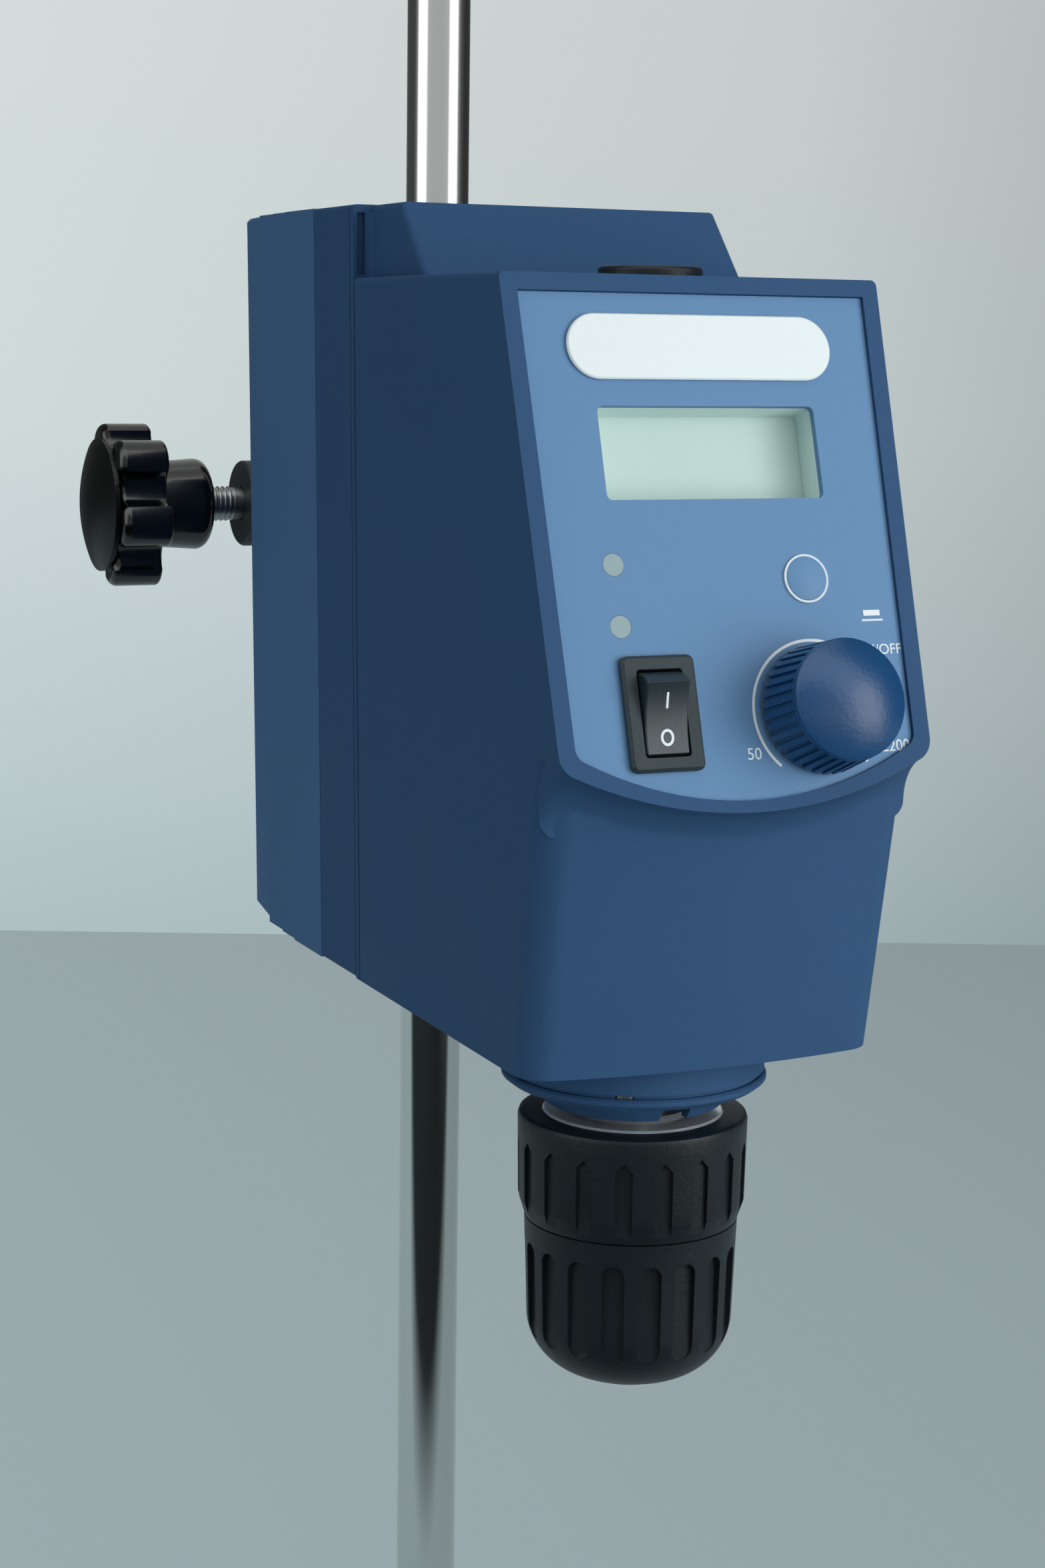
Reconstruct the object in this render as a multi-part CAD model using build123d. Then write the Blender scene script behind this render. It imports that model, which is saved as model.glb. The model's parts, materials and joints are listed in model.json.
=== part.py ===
from build123d import *
import os
from math import atan, cos, degrees, pi, radians, sin, sqrt, tan

# Overhead stirrer: a belt-driven stirring head with a keyless chuck, held on a
# support rod by a boss head. Millimetres, +Z up, +X to the right of someone
# facing the control panel, -Y towards that person. The origin is on the
# spindle axis, level with the flat underside of the head.

# ---- driving dimensions -------------------------------------------------

# clearances
SEAT = 0.05          # between pieces of one body that are pressed or laid together
RUN = 0.05           # radial running clearance of shafts and pins
FREE = 0.3           # between bodies that move past each other without touching

# head: outside form
HEAD_HALF_TOP = 40.0       # half width at the level of the front deck
HEAD_HALF_BOTTOM = 38.0    # half width at the underside
DECK_Z = 150.0             # top of the front housing
HEAD_TOP_Z = 165.0         # top of the hump, the middle frame and the rear cover
WALL = 2.6                 # wall of every moulded shell
SEAM_Y = 60.0              # rear edge of the front housing
FRAME_LENGTH = 22.0        # length of the middle frame along Y
REAR_Y = 143.0             # rear face of the rear cover
REAR_INSET = 2.6           # how much narrower the rear cover is at its rear face
PARTING = 0.35             # visible width of the parting lines

# control panel: a flat face that leans back
PANEL_TILT = 17.7          # degrees back from vertical
PANEL_TOP_Y = -18.0        # front edge of the deck
PANEL_SIDE = 93.0          # slope length of the panel's straight sides
PANEL_MIDDLE = 102.5       # slope length of the panel on its centre line
PANEL_CORNER = 4.5         # radius of its lower corners
RIM = 3.4                  # width of the raised rim round the panel
RIM_FOOT = 2.3             # width of the rim along the curved lower edge
RIM_RISE = 0.8             # how far the rim stands over the overlay
OVERLAY = 1.4              # thickness of the panel overlay
PANEL_BACK = 3.0           # moulded wall behind the overlay

# lower front of the head
CHIN_Y = -34.4             # foot of the lower front face, on the centre line
CHIN_LEAN = 9.4            # degrees that the lower front face leans forward
CHIN_BOW = 4.8             # how far that face bows forward in plan
CHIN_CORNER = 7.0          # radius of its upright corners
CHIN_RISE = 64.0           # height at which it disappears behind the panel
COVE_DEPTH = 8.7           # how far the cove under the panel reaches back
COVE_DROP = 12.5           # and down
COVE_START = 25.0          # its slope below level where it leaves the panel, degrees
COVE_STEPS = 4
COVE_OVERLAP = 14.0        # slope length of the panel foot that the cove grows from

# hump on the deck, in front of the middle frame
HUMP_INSET = 4.0           # how far its sides stand in from the sides of the head
HUMP_FOOT_Y = 28.0         # where its ramp meets the deck
HUMP_CREST_Y = 42.0        # where its ramp meets the top

# controls, as places on the panel: across from the centre, down the slope
PLATE_DOWN, PLATE_LENGTH, PLATE_HEIGHT = 13.9, 55.6, 12.6
DISPLAY_DOWN, DISPLAY_WIDTH, DISPLAY_HEIGHT = 34.1, 45.6, 17.8
DISPLAY_DEPTH = 6.4
LAMP_ACROSS, LAMP_DOWNS, LAMP_RADIUS = -23.2, (55.2, 66.8), 2.1
BUTTON_ACROSS, BUTTON_DOWN, BUTTON_RADIUS = 16.6, 58.7, 4.2
BUTTON_RING_RADIUS = 4.7
SWITCH_ACROSS, SWITCH_DOWN, SWITCH_WIDTH, SWITCH_HEIGHT = -17.2, 83.3, 15.0, 21.6
KNOB_ACROSS, KNOB_DOWN = 15.6, 84.0

# speed knob
KNOB_BASE_RADIUS = 12.4
KNOB_TOP_RADIUS = 11.4
KNOB_SKIRT = 11.0
KNOB_DOME = 3.4
KNOB_RIBS = 36
KNOB_STANDOFF = 1.6        # room under the knob, which its push stroke uses
KNOB_STROKE = 1.0
ENCODER_SHAFT_RADIUS = 3.0

# spindle and its bearings
SPINDLE_RADIUS = 7.5
SHAFT_BORE = 5.25          # through bore for stirring shafts up to 10 mm
SPINDLE_TOP_Z = 144.0
BEARING_RADIUS = 16.0
BEARING_WIDTH = 9.0
BEARING_LOW_Z = 6.0        # underside of the lower bearing
BEARING_HIGH_Z = 88.0      # underside of the upper bearing
TUBE_WALL = 3.0

# belt drive
MOTOR_Y = 55.0
MOTOR_RADIUS = 22.0
MOTOR_FOOT_Z = 28.0
MOTOR_SHAFT_RADIUS = 3.0
DRIVE_PLATE_Z = 100.0      # underside of the plate that carries motor and bearing tube
DRIVE_PLATE = 4.0
PULLEY_Z = 134.0           # middle of the belt
BELT_WIDTH = 9.0
BELT_THICKNESS = 1.6
MOTOR_PULLEY_RADIUS = 7.0
SPINDLE_PULLEY_RADIUS = 12.6

# collar under the head
COLLAR_RADIUS = 26.6
COLLAR_HEIGHT = 7.2
COLLAR_GROOVE = 0.7
COLLAR_FLANGE = 27.0
SKIRT_TOP_RADIUS = 20.4
SKIRT_RADIUS = 18.2
SKIRT_FOOT_Z = -14.6
SKIRT_NOTCH = 6.0

# keyless chuck
CHUCK_TOP_Z = -16.6
CHUCK_RING_RADIUS = 18.5
SLEEVE_RADIUS = 23.5
SLEEVE_FOOT_RADIUS = 23.2
SLEEVE_SPLIT_Z = -39.0
GRIP_RADIUS = 21.9
GRIP_FOOT_RADIUS = 21.2
GRIP_SHOULDER_Z = -60.0     # where the dome under the lower sleeve starts
GRIP_DOME = 11.3           # radius of that dome's curve
NOSE_Z = -73.2
NOSE_RADIUS = 8.8
CORE_RADIUS = 17.2
CORE_FLANGE_RADIUS = 20.1
SPINDLE_SEAT_Z = -30.0     # how far the spindle reaches into the chuck
JAW_TILT = 16.0            # degrees between a jaw and the spindle axis
JAW_RADIUS = 2.9
JAW_LENGTH = 30.0
JAW_OPEN = 5.45            # gap radius with the chuck open
JAW_SHUT = 0.25
JAW_TIP_SHUT_Z = -82.0
JAW_TIP_CENTRE = 1.8       # radius of a shut jaw's centre line at its tip

# support rod, mounting bar and boss head
ROD_RADIUS = 8.0
ROD_X, ROD_Y = 26.0, 175.0
ROD_LENGTH = 500.0
ROD_TOP_Z = 250.0
ROD_STUD_RADIUS = 5.0
ROD_STUD_LENGTH = 15.0
BAR_RADIUS = 6.5
BAR_Z = 96.3
BAR_END_Y = 200.0
CLAMP_END_RADIUS = 10.7
CLAMP_LEFT_X = -27.0
CLAMP_BOSS_RADIUS = 13.5
CLAMP_BOSS_HEIGHT = 34.0
CLAMP_BAR_BOSS_RADIUS = 12.0
CLAMP_BAR_BOSS_LENGTH = 30.0
SCREW_RADIUS = 4.0
PAD_THICKNESS = 2.0
STAR_RADIUS = 20.3
STAR_LOBES = 6
STAR_THICKNESS = 12.5
STAR_HUB_RADIUS = 11.5
STAR_HUB_LENGTH = 13.5
STAR_CAP_RADIUS = 16.3
STAR_CAP_RISE = 3.4
STAR_STANDOFF = 9.3        # from the boss head to the hub

# ---- places worked out from the driving dimensions -----------------------

tilt = radians(PANEL_TILT)
panel = Plane(origin=(0, PANEL_TOP_Y, DECK_Z), x_dir=(1, 0, 0), z_dir=(0, -cos(tilt), sin(tilt)))
overlay_face = -RIM_RISE
overlay_back = overlay_face - OVERLAY
frame_rear_y = SEAM_Y + FRAME_LENGTH
side_slope = (HEAD_HALF_TOP - HEAD_HALF_BOTTOM) / DECK_Z
hump_half = HEAD_HALF_TOP - HUMP_INSET
clamp_right_x = ROD_X - CLAMP_LEFT_X

# ---- smaller details -------------------------------------------------------

PANEL_OUT = panel.z_dir
RECESS_CORNER = 3.0
PANEL_REACH = 12.0         # how deep the holes through the panel wall go
HUMP_EDGE = 1.5
DECK_EDGE = 1.2
SHELL_EDGE = 1.0
REAR_CORNER = 4.5          # radius of the upright rear edges
REAR_EDGE = 0.8
SEAM_FLANGE = 2.0          # thickness of the full-width flange at the seam
SEAM_GROOVE_WIDTH, SEAM_GROOVE_DEPTH = 0.5, 0.35
POCKET_RIM = 0.7           # wall left round the pockets beside the hump
POCKET_DEPTH = 1.3
HUMP_ROOT = 1.5            # hollow fillet between hump and flange
TUBE_RADIUS = BEARING_RADIUS + TUBE_WALL
FLOOR_BOSS = 10.0
CAP_RADIUS = 10.2
CAP_HOLE_RADIUS = 8.6
CAP_RISE = 2.0
CAP_PLUG = 4.5
DISPLAY_CORNER = 1.2
DISPLAY_WALL = 0.9
DISPLAY_MODULE = 3.0
PLATE_RISE = 0.9
SWITCH_LIP = 1.4
SWITCH_RISE = 1.6
SWITCH_DEPTH = 16.0
SWITCH_EDGE = 0.6
SWITCH_OPENING_WIDTH, SWITCH_OPENING_HEIGHT = 9.4, 16.4
SWITCH_OPENING_CORNER = 0.7
ROCKER_WIDTH = 8.7
ROCKER_HALF = 6.6          # half length of the paddle's face
ROCKER_HOLLOW = 1.0        # how far the face dips between its ends
ROCKER_WELL = 10.5
ROCKER_TILT = 16.0         # lean of the paddle at either stop, degrees
ROCKER_AXIS = 0.75         # depth of the pivot below the overlay
ROCKER_BODY = 5.0
BUTTON_RISE = 0.45
BUTTON_DOME = 0.5
BUTTON_RING_RISE = 0.4
BUTTON_STROKE = 0.6
BOARD = 1.6
BOARD_DEPTH = 11.0         # from the overlay face to the front of the control board
BOARD_ACROSS, BOARD_DOWN, BOARD_WIDTH, BOARD_HEIGHT = 0.0, 73.0, 58.0, 42.0
KNOB_BUSH_RADIUS = 3.6
ENCODER_CAN = 6.0
SHAFT_NECK = 4.0
SHAFT_NECK_RADIUS = 2.2
KNOB_GROOVE_DEPTH = 0.55
KNOB_GROOVE_WIDTH = 0.9
M3_RADIUS = 1.5
M3_HEAD_RADIUS = 2.8
M3_HEAD = 2.0
M3_HEAD_DEPTH = 3.0
BULKHEAD = 4.0
BAR_BOSS = 14.0
COVER_SCREW_X, COVER_SCREW_ZS = 26.0, (12.0, 153.0)
COLLAR_SCREW_PITCH = 23.2
REAR_STEPS = (101.0, 111.0)   # where the sides of the rear cover step in
REAR_TAPER_Y = 122.0
REAR_STEP = 0.5
REAR_LIFT = 1.0            # rise of the underside towards the rear face
INLET_X, INLET_Z, INLET_WIDTH, INLET_HEIGHT, INLET_DEPTH = 0.0, 34.0, 27.4, 20.0, 18.0
INLET_FLOOR, INLET_PIN = 3.0, 9.0
VENT_ROWS, VENT_LENGTH, VENT_HEIGHT, VENT_PITCH, VENT_Z = 5, 40.0, 2.4, 6.0, 122.0
BOARD_POST = 6.0
DRIVE_BOARD_X, DRIVE_BOARD_Z, DRIVE_BOARD_WIDTH, DRIVE_BOARD_HEIGHT = 0.0, 58.0, 50.0, 40.0
DRIVE_PLATE_HALF = 30.0
MOTOR_PILOT_RADIUS = 7.0
MOTOR_SCREW_PITCH = 14.0
JAW_TURNS = (30, 150, 270)
JAW_GUIDE = 0.15
NUT_TOP_Z, NUT_FOOT_Z, NUT_INNER_RADIUS = -42.0, -50.0, 16.6
SLEEVE_GROOVES, SLEEVE_GROOVE_WIDTH, SLEEVE_GROOVE_DEPTH = 18, 3.5, 0.8
GROOVE_TOP_Z, GROOVE_POINT = -21.9, 1.8
GRIP_FLUTES, FLUTE_WIDTH, FLUTE_DEPTH = 18, 4.6, 1.0
FLUTE_TOP_Z, FLUTE_FOOT_Z = -43.7, -64.0
FLUTE_TURN = 15.0          # degrees
PAD_GAP = 0.05
STAR_CAP_RIM = 1.2
STAR_RECESS, STAR_RECESS_RADIUS = 2.0, 9.0
STAR_HOLLOW = 6.3          # depth of the hollows between a star knob's lobes
STAR_LOBE_SHARE = 0.27     # half width of a lobe, as a share of the lobe pitch
STAR_TURN = 15.5           # degrees
STAR_HUB_EDGE = 3.0


def on_panel(shape, across=0.0, down=0.0, out=0.0):
    """Put a shape on the panel face: across, down the slope and out of the face."""
    return panel * Pos(across, -down, out) * shape


def post(radius, low, high, x=0.0, y=0.0):
    """An upright cylinder between two heights."""
    return Pos(x, y, (low + high) / 2) * Cylinder(radius, high - low)


def ring(outer, inner, low, high, x=0.0, y=0.0):
    """An upright ring between two heights."""
    return post(outer, low, high, x, y) - post(inner, low - 1, high + 1, x, y)


def along_x(shape, x=0.0, y=0.0, z=0.0):
    """Turn an upright shape so that its +Z points along +X, then place it."""
    return Pos(x, y, z) * Rot(0, 90, 0) * shape


def along_y(shape, x=0.0, y=0.0, z=0.0):
    """Turn an upright shape so that its +Z points along +Y, then place it."""
    return Pos(x, y, z) * Rot(-90, 0, 0) * shape


def spun(points, x=0.0, y=0.0):
    """Revolve a closed outline of (radius, height) points about an upright axis."""
    outline = make_face(Polyline(*[(r, 0, z) for r, z in points], close=True))
    return Pos(x, y, 0) * revolve(outline, Axis.Z)


def head_half(z):
    """Half width of the head at a height: the sides have a slight draft."""
    return HEAD_HALF_BOTTOM + side_slope * z


def head_block(front, rear, top, inset=0.0, low=0.0):
    """A length of the head's plain section, with its drafted sides."""
    corners = [(-head_half(low) + inset, 0, low + inset), (head_half(low) - inset, 0, low + inset),
               (head_half(top) - inset, 0, top - inset), (-head_half(top) + inset, 0, top - inset)]
    section = make_face(Polyline(*corners, close=True))
    return Pos(0, front, 0) * extrude(section, rear - front, dir=(0, 1, 0))


# ---- head shells ----------------------------------------------------------

def panel_outline(inset=0.0, foot_inset=None, corner=PANEL_CORNER):
    """The panel's outline: straight sides that close in with the head, and a bowed foot."""
    foot_inset = inset if foot_inset is None else foot_inset
    side = PANEL_SIDE - foot_inset
    top_half = HEAD_HALF_TOP - inset
    low_half = head_half(DECK_Z - PANEL_SIDE * cos(tilt)) - inset
    edge = Polyline((-low_half, -side), (-top_half, -inset), (top_half, -inset), (low_half, -side))
    foot = ThreePointArc((low_half, -side), (0, foot_inset - PANEL_MIDDLE), (-low_half, -side))
    outline = make_face(edge + foot)
    return fillet(outline.vertices().group_by(Axis.Y)[0], corner)


def chin_plan(inset=0.0):
    """Plan of the lower head: a bowed front between straight sides."""
    half, front = HEAD_HALF_TOP + 2 - inset, CHIN_Y + inset
    bow = ThreePointArc((-half, front + CHIN_BOW, 0), (0, front, 0), (half, front + CHIN_BOW, 0))
    rear = SEAM_Y + CHIN_RISE
    sides = Polyline((half, front + CHIN_BOW, 0), (half, rear, 0), (-half, rear, 0),
                     (-half, front + CHIN_BOW, 0))
    return make_face(bow + sides)


def cove_form(inset=0.0):
    """The foot of the panel block, drawn back and down along a curve into the lower front."""
    foot = panel_outline(inset) & Pos(0, -PANEL_MIDDLE) * Rectangle(4 * HEAD_HALF_TOP, 2 * COVE_OVERLAP)
    sections = []
    for step in range(COVE_STEPS + 1):
        turn = radians(COVE_START + (90 - COVE_START) * step / COVE_STEPS)
        back = COVE_DEPTH * (sin(turn) - sin(radians(COVE_START))) / (1 - sin(radians(COVE_START)))
        drop = COVE_DROP * (1 - cos(turn) / cos(radians(COVE_START)))
        sections.append(Pos(0, back, -drop) * on_panel(foot, out=-inset))
    return loft(sections) & head_block(-PANEL_MIDDLE, SEAM_Y, DECK_Z, inset)


def front_form(inset=0.0, corner=CHIN_CORNER):
    """Outside form of the front housing, or the same form drawn in by a wall."""
    behind_panel = on_panel(panel_outline(inset), out=-inset)
    reach = Pos(0, SEAM_Y - PANEL_MIDDLE, DECK_Z / 2) * Box(3 * HEAD_HALF_TOP, 2 * PANEL_MIDDLE, 2 * DECK_Z)
    upper = extrude(behind_panel, 2 * PANEL_MIDDLE, dir=(0, 1, 0)) & reach
    lean = (0, -tan(radians(CHIN_LEAN)), 1)
    chin = extrude(chin_plan(inset), CHIN_RISE * sqrt(1 + tan(radians(CHIN_LEAN)) ** 2), dir=lean)
    lower = chin & head_block(-PANEL_MIDDLE, SEAM_Y, DECK_Z, inset)
    uprights = lower.edges().filter_by(lambda e: abs(e.tangent_at(0.5).Z) > 0.9).group_by(Axis.Y)[0]
    return fillet(uprights, corner - inset) + upper + cove_form(inset)


def hump_form(inset=0.0):
    """Ramped hump on the deck that carries the head's top line forward."""
    run = HUMP_CREST_Y - HUMP_FOOT_Y
    top = HEAD_TOP_Z - inset
    low = DECK_Z - WALL - inset
    foot_y = HUMP_FOOT_Y - run * (DECK_Z - low) / (HEAD_TOP_Z - DECK_Z) + inset
    side = Polyline((0, foot_y, low), (0, HUMP_CREST_Y + inset, top), (0, SEAM_Y, top), (0, SEAM_Y, low),
                    close=True)
    return Pos(-hump_half + inset, 0, 0) * extrude(make_face(side), 2 * (hump_half - inset), dir=(1, 0, 0))


def front_housing():
    hump = hump_form()
    hump = fillet(hump.edges().filter_by(lambda e: abs(e.tangent_at(0.5).X) < 0.1 and e.center().Z > DECK_Z
                                         and e.center().Y < SEAM_Y - 1), HUMP_EDGE)
    outside = front_form()
    outside = fillet(outside.edges().filter_by(Axis.Y).group_by(Axis.Z)[-1], DECK_EDGE)
    outside += hump + seam_flange() + hump_roots()
    outside -= seam_cuts()
    inside = front_form(WALL) + hump_form(WALL)
    shell = outside - inside
    shell += panel_wall() & outside
    shell += post(COLLAR_SCREW_PITCH + M3_HEAD_RADIUS, 0, FLOOR_BOSS)
    # recess for the overlay, then the openings behind it
    shell -= extrude(on_panel(panel_outline(RIM, RIM_FOOT, RECESS_CORNER), out=overlay_back), 10, dir=PANEL_OUT)
    shell -= panel_openings(-PANEL_REACH, SEAT, DISPLAY_WALL)
    shell -= post(CAP_HOLE_RADIUS, DECK_Z - 2 * WALL, DECK_Z + 1)
    shell -= post(SPINDLE_RADIUS + FREE, -1, FLOOR_BOSS + 1)
    shell -= post(TUBE_RADIUS + SEAT, WALL, FLOOR_BOSS + 1)
    for x, y in collar_screw_places():
        shell -= post(M3_RADIUS + SEAT, -1, FLOOR_BOSS + 1, x, y)
    return shell


def seam_flange():
    """Thin flange at the seam, as wide and as high as the middle frame behind it."""
    flange = head_block(SEAM_Y - SEAM_FLANGE, SEAM_Y, HEAD_TOP_Z)
    return fillet(flange.edges().filter_by(Axis.Y).group_by(Axis.Z)[-1], SHELL_EDGE)


def hump_roots():
    """Hollow fillets where the sides of the hump meet the seam flange."""
    low, high = DECK_Z - DECK_EDGE, HEAD_TOP_Z - HUMP_EDGE
    near, far = hump_half - HUMP_EDGE, hump_half + HUMP_ROOT
    front, rear = SEAM_Y - SEAM_FLANGE - HUMP_ROOT, SEAM_Y - SEAM_FLANGE / 2
    block = Box(far - near, rear - front, high - low)
    block = Pos((near + far) / 2, (front + rear) / 2, (low + high) / 2) * block
    root = block - post(HUMP_ROOT, low - 1, high + 1, far, front)
    return root + mirror(root, Plane.YZ)


def seam_cuts():
    """Fine groove in front of the flange, and the shallow pockets beside the hump."""
    groove_rear = SEAM_Y - SEAM_FLANGE
    groove_front = groove_rear - SEAM_GROOVE_WIDTH
    cuts = head_block(groove_front, groove_rear, 2 * HEAD_TOP_Z, -WALL) - head_block(
        groove_front - 1, groove_rear + 1, 2 * HEAD_TOP_Z, SEAM_GROOVE_DEPTH)
    cuts = cuts & Pos(0, groove_rear, 0) * Box(4 * HEAD_HALF_TOP, WALL, 2 * (DECK_Z - DECK_EDGE))
    inner, outer = hump_half + HUMP_ROOT, HEAD_HALF_TOP - POCKET_RIM
    low, high = DECK_Z + POCKET_RIM, HEAD_TOP_Z - SHELL_EDGE - POCKET_RIM
    for side in (-1, 1):
        cuts += Pos(side * (inner + outer) / 2, groove_rear, (low + high) / 2) * Box(
            outer - inner, 2 * POCKET_DEPTH, high - low)
    return cuts


def panel_wall():
    """Thick wall that backs the overlay."""
    back = extrude(on_panel(panel_outline(WALL), out=overlay_back - PANEL_BACK), PANEL_BACK + RIM_RISE + OVERLAY,
                   dir=PANEL_OUT)
    return back


def rounded_block(width, height, low, high, corner, across=0.0, down=0.0):
    """A rounded plate or pocket on the panel, between two levels out of its face."""
    outline = RectangleRounded(width, height, corner)
    return on_panel(extrude(outline, high - low), across, down, low)


def stub(radius, low, high, across=0.0, down=0.0):
    """A round peg or hole square to the panel, between two levels out of its face."""
    return on_panel(Pos(0, 0, (low + high) / 2) * Cylinder(radius, high - low), across, down)


def panel_openings(low, gap, around=0.0):
    """Everything that passes through the overlay and the wall behind it."""
    high = RIM_RISE + 1
    grow = 2 * (around + gap)
    holes = rounded_block(DISPLAY_WIDTH + grow, DISPLAY_HEIGHT + grow, low, high, DISPLAY_CORNER, 0, DISPLAY_DOWN)
    holes += rounded_block(SWITCH_WIDTH - 2 * SWITCH_LIP + 2 * gap, SWITCH_HEIGHT - 2 * SWITCH_LIP + 2 * gap,
                           low, high, 0.8, SWITCH_ACROSS, SWITCH_DOWN)
    holes += stub(BUTTON_RING_RADIUS + gap, low, high, BUTTON_ACROSS, BUTTON_DOWN)
    holes += stub(KNOB_BUSH_RADIUS + gap, low, high, KNOB_ACROSS, KNOB_DOWN)
    for down in LAMP_DOWNS:
        holes += stub(LAMP_RADIUS + gap, low, high, LAMP_ACROSS, down)
    return holes


def control_panel():
    outline = panel_outline(RIM + SEAT, RIM_FOOT + SEAT, RECESS_CORNER)
    sheet = extrude(on_panel(outline, out=overlay_back), OVERLAY, dir=PANEL_OUT)
    return sheet - panel_openings(overlay_back - 1, SEAT)


def name_plate():
    """Blank pill-shaped plate at the top of the panel."""
    outline = SlotOverall(PLATE_LENGTH, PLATE_HEIGHT)
    plate = on_panel(extrude(outline, PLATE_RISE), 0, PLATE_DOWN, overlay_face)
    return chamfer(plate.faces().sort_by(lambda f: f.center().Y)[0].edges(), PLATE_RISE / 3)


def display_surround():
    """Well with upright walls under the overlay, with the display at the bottom of it."""
    low, high = overlay_face - DISPLAY_DEPTH, overlay_back - SEAT
    wall, width, height = 2 * DISPLAY_WALL, DISPLAY_WIDTH + 2 * SEAT, DISPLAY_HEIGHT + 2 * SEAT
    well = rounded_block(DISPLAY_WIDTH + wall, DISPLAY_HEIGHT + wall, low, high, DISPLAY_CORNER, 0, DISPLAY_DOWN)
    well += rounded_block(width + 3 * wall, height + 3 * wall, low - 1, low, 2, 0, DISPLAY_DOWN)
    return well - rounded_block(width, height, low - 2, high + 1, DISPLAY_CORNER / 2, 0, DISPLAY_DOWN)


def display_module():
    low = overlay_face - DISPLAY_DEPTH - 1
    return rounded_block(DISPLAY_WIDTH + 8, DISPLAY_HEIGHT + 8, low - DISPLAY_MODULE, low, 1, 0, DISPLAY_DOWN)


def lamp_lenses():
    low = overlay_back - PANEL_BACK
    lenses = []
    for down in LAMP_DOWNS:
        lens = stub(LAMP_RADIUS, low, overlay_face, LAMP_ACROSS, down)
        lens += stub(LAMP_RADIUS + 1, low - 1, low, LAMP_ACROSS, down)
        lenses.append(lens)
    return Compound(lenses)


def control_board():
    """Circuit board behind the panel that carries the button, the lamps and the encoder."""
    high = overlay_face - BOARD_DEPTH
    board = rounded_block(BOARD_WIDTH, BOARD_HEIGHT, high - BOARD, high, 1.5, BOARD_ACROSS, BOARD_DOWN)
    board -= rounded_block(SWITCH_WIDTH, SWITCH_HEIGHT, high - BOARD - 1, high + 1, 1, SWITCH_ACROSS, SWITCH_DOWN)
    board += rounded_block(12, 12, high - BOARD - 2, high - BOARD, 0.5, 4, BOARD_DOWN)
    return board + rounded_block(8, 5, high - BOARD - 1.6, high - BOARD, 0.5, 18, BOARD_DOWN + 2)


def encoder_body():
    """Encoder behind the speed knob, with the threaded bush that reaches through the panel."""
    base = overlay_face - BOARD_DEPTH
    can = rounded_block(12, 12, base, base + ENCODER_CAN, 1, KNOB_ACROSS, KNOB_DOWN)
    bush = stub(KNOB_BUSH_RADIUS, base + ENCODER_CAN, overlay_face, KNOB_ACROSS, KNOB_DOWN)
    body = can + bush
    return body - stub(ENCODER_SHAFT_RADIUS + RUN, base + 1, overlay_face + 1, KNOB_ACROSS, KNOB_DOWN)


def encoder_shaft():
    base = overlay_face - BOARD_DEPTH
    foot = base + 1 + KNOB_STROKE + FREE
    top = overlay_face + KNOB_STANDOFF + KNOB_SKIRT - 1
    shaft = stub(ENCODER_SHAFT_RADIUS, foot, top - SHAFT_NECK, KNOB_ACROSS, KNOB_DOWN)
    return shaft + stub(SHAFT_NECK_RADIUS, top - SHAFT_NECK, top, KNOB_ACROSS, KNOB_DOWN)


def speed_knob():
    """Ribbed skirt that opens out a little at its foot, under a smooth domed top."""
    foot = overlay_face + KNOB_STANDOFF
    dome_foot = foot + KNOB_SKIRT
    sphere = (KNOB_TOP_RADIUS ** 2 + KNOB_DOME ** 2) / (2 * KNOB_DOME)
    half = asin_point(KNOB_TOP_RADIUS / 2, sphere, KNOB_DOME)
    outline = Line((0, 0, foot), (KNOB_BASE_RADIUS, 0, foot))
    outline += Line((KNOB_BASE_RADIUS, 0, foot), (KNOB_TOP_RADIUS, 0, dome_foot))
    outline += ThreePointArc((KNOB_TOP_RADIUS, 0, dome_foot), (KNOB_TOP_RADIUS / 2, 0, dome_foot + half),
                             (0, 0, dome_foot + KNOB_DOME))
    outline += Line((0, 0, dome_foot + KNOB_DOME), (0, 0, foot))
    knob = revolve(make_face(outline), Axis.Z)
    lean = degrees(atan((KNOB_BASE_RADIUS - KNOB_TOP_RADIUS) / KNOB_SKIRT))
    groove = Pos(KNOB_BASE_RADIUS, 0, foot) * Rot(0, -lean, 0) * Pos(0, 0, KNOB_SKIRT / 2 - 1.2) * Box(
        2 * KNOB_GROOVE_DEPTH, KNOB_GROOVE_WIDTH, KNOB_SKIRT)
    knob -= PolarLocations(0, KNOB_RIBS) * groove
    knob -= Pos(0, 0, (foot + dome_foot) / 2 - 1) * Cylinder(KNOB_TOP_RADIUS - 2.5, KNOB_SKIRT - 2)
    top = dome_foot - 1
    hub = Pos(0, 0, (foot + top) / 2) * Cylinder(ENCODER_SHAFT_RADIUS + 2, top - foot)
    knob += hub
    bore_top = top - SHAFT_NECK
    knob -= Pos(0, 0, (foot + bore_top) / 2 - 5) * Cylinder(ENCODER_SHAFT_RADIUS + 2 * RUN, bore_top - foot + 10)
    knob -= Pos(0, 0, top - SHAFT_NECK / 2) * Cylinder(SHAFT_NECK_RADIUS + RUN, SHAFT_NECK + 0.01)
    return on_panel(knob, KNOB_ACROSS, KNOB_DOWN)


def asin_point(radius, sphere, rise):
    """Height of a spherical cap above its rim at a radius from its axis."""
    return sqrt(sphere ** 2 - radius ** 2) - (sphere - rise)


def button_ring():
    low = overlay_back - PANEL_BACK
    return stub(BUTTON_RING_RADIUS, low, overlay_face + BUTTON_RING_RISE, BUTTON_ACROSS, BUTTON_DOWN) - stub(
        BUTTON_RADIUS + RUN, low - 1, overlay_face + 2, BUTTON_ACROSS, BUTTON_DOWN)


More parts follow.
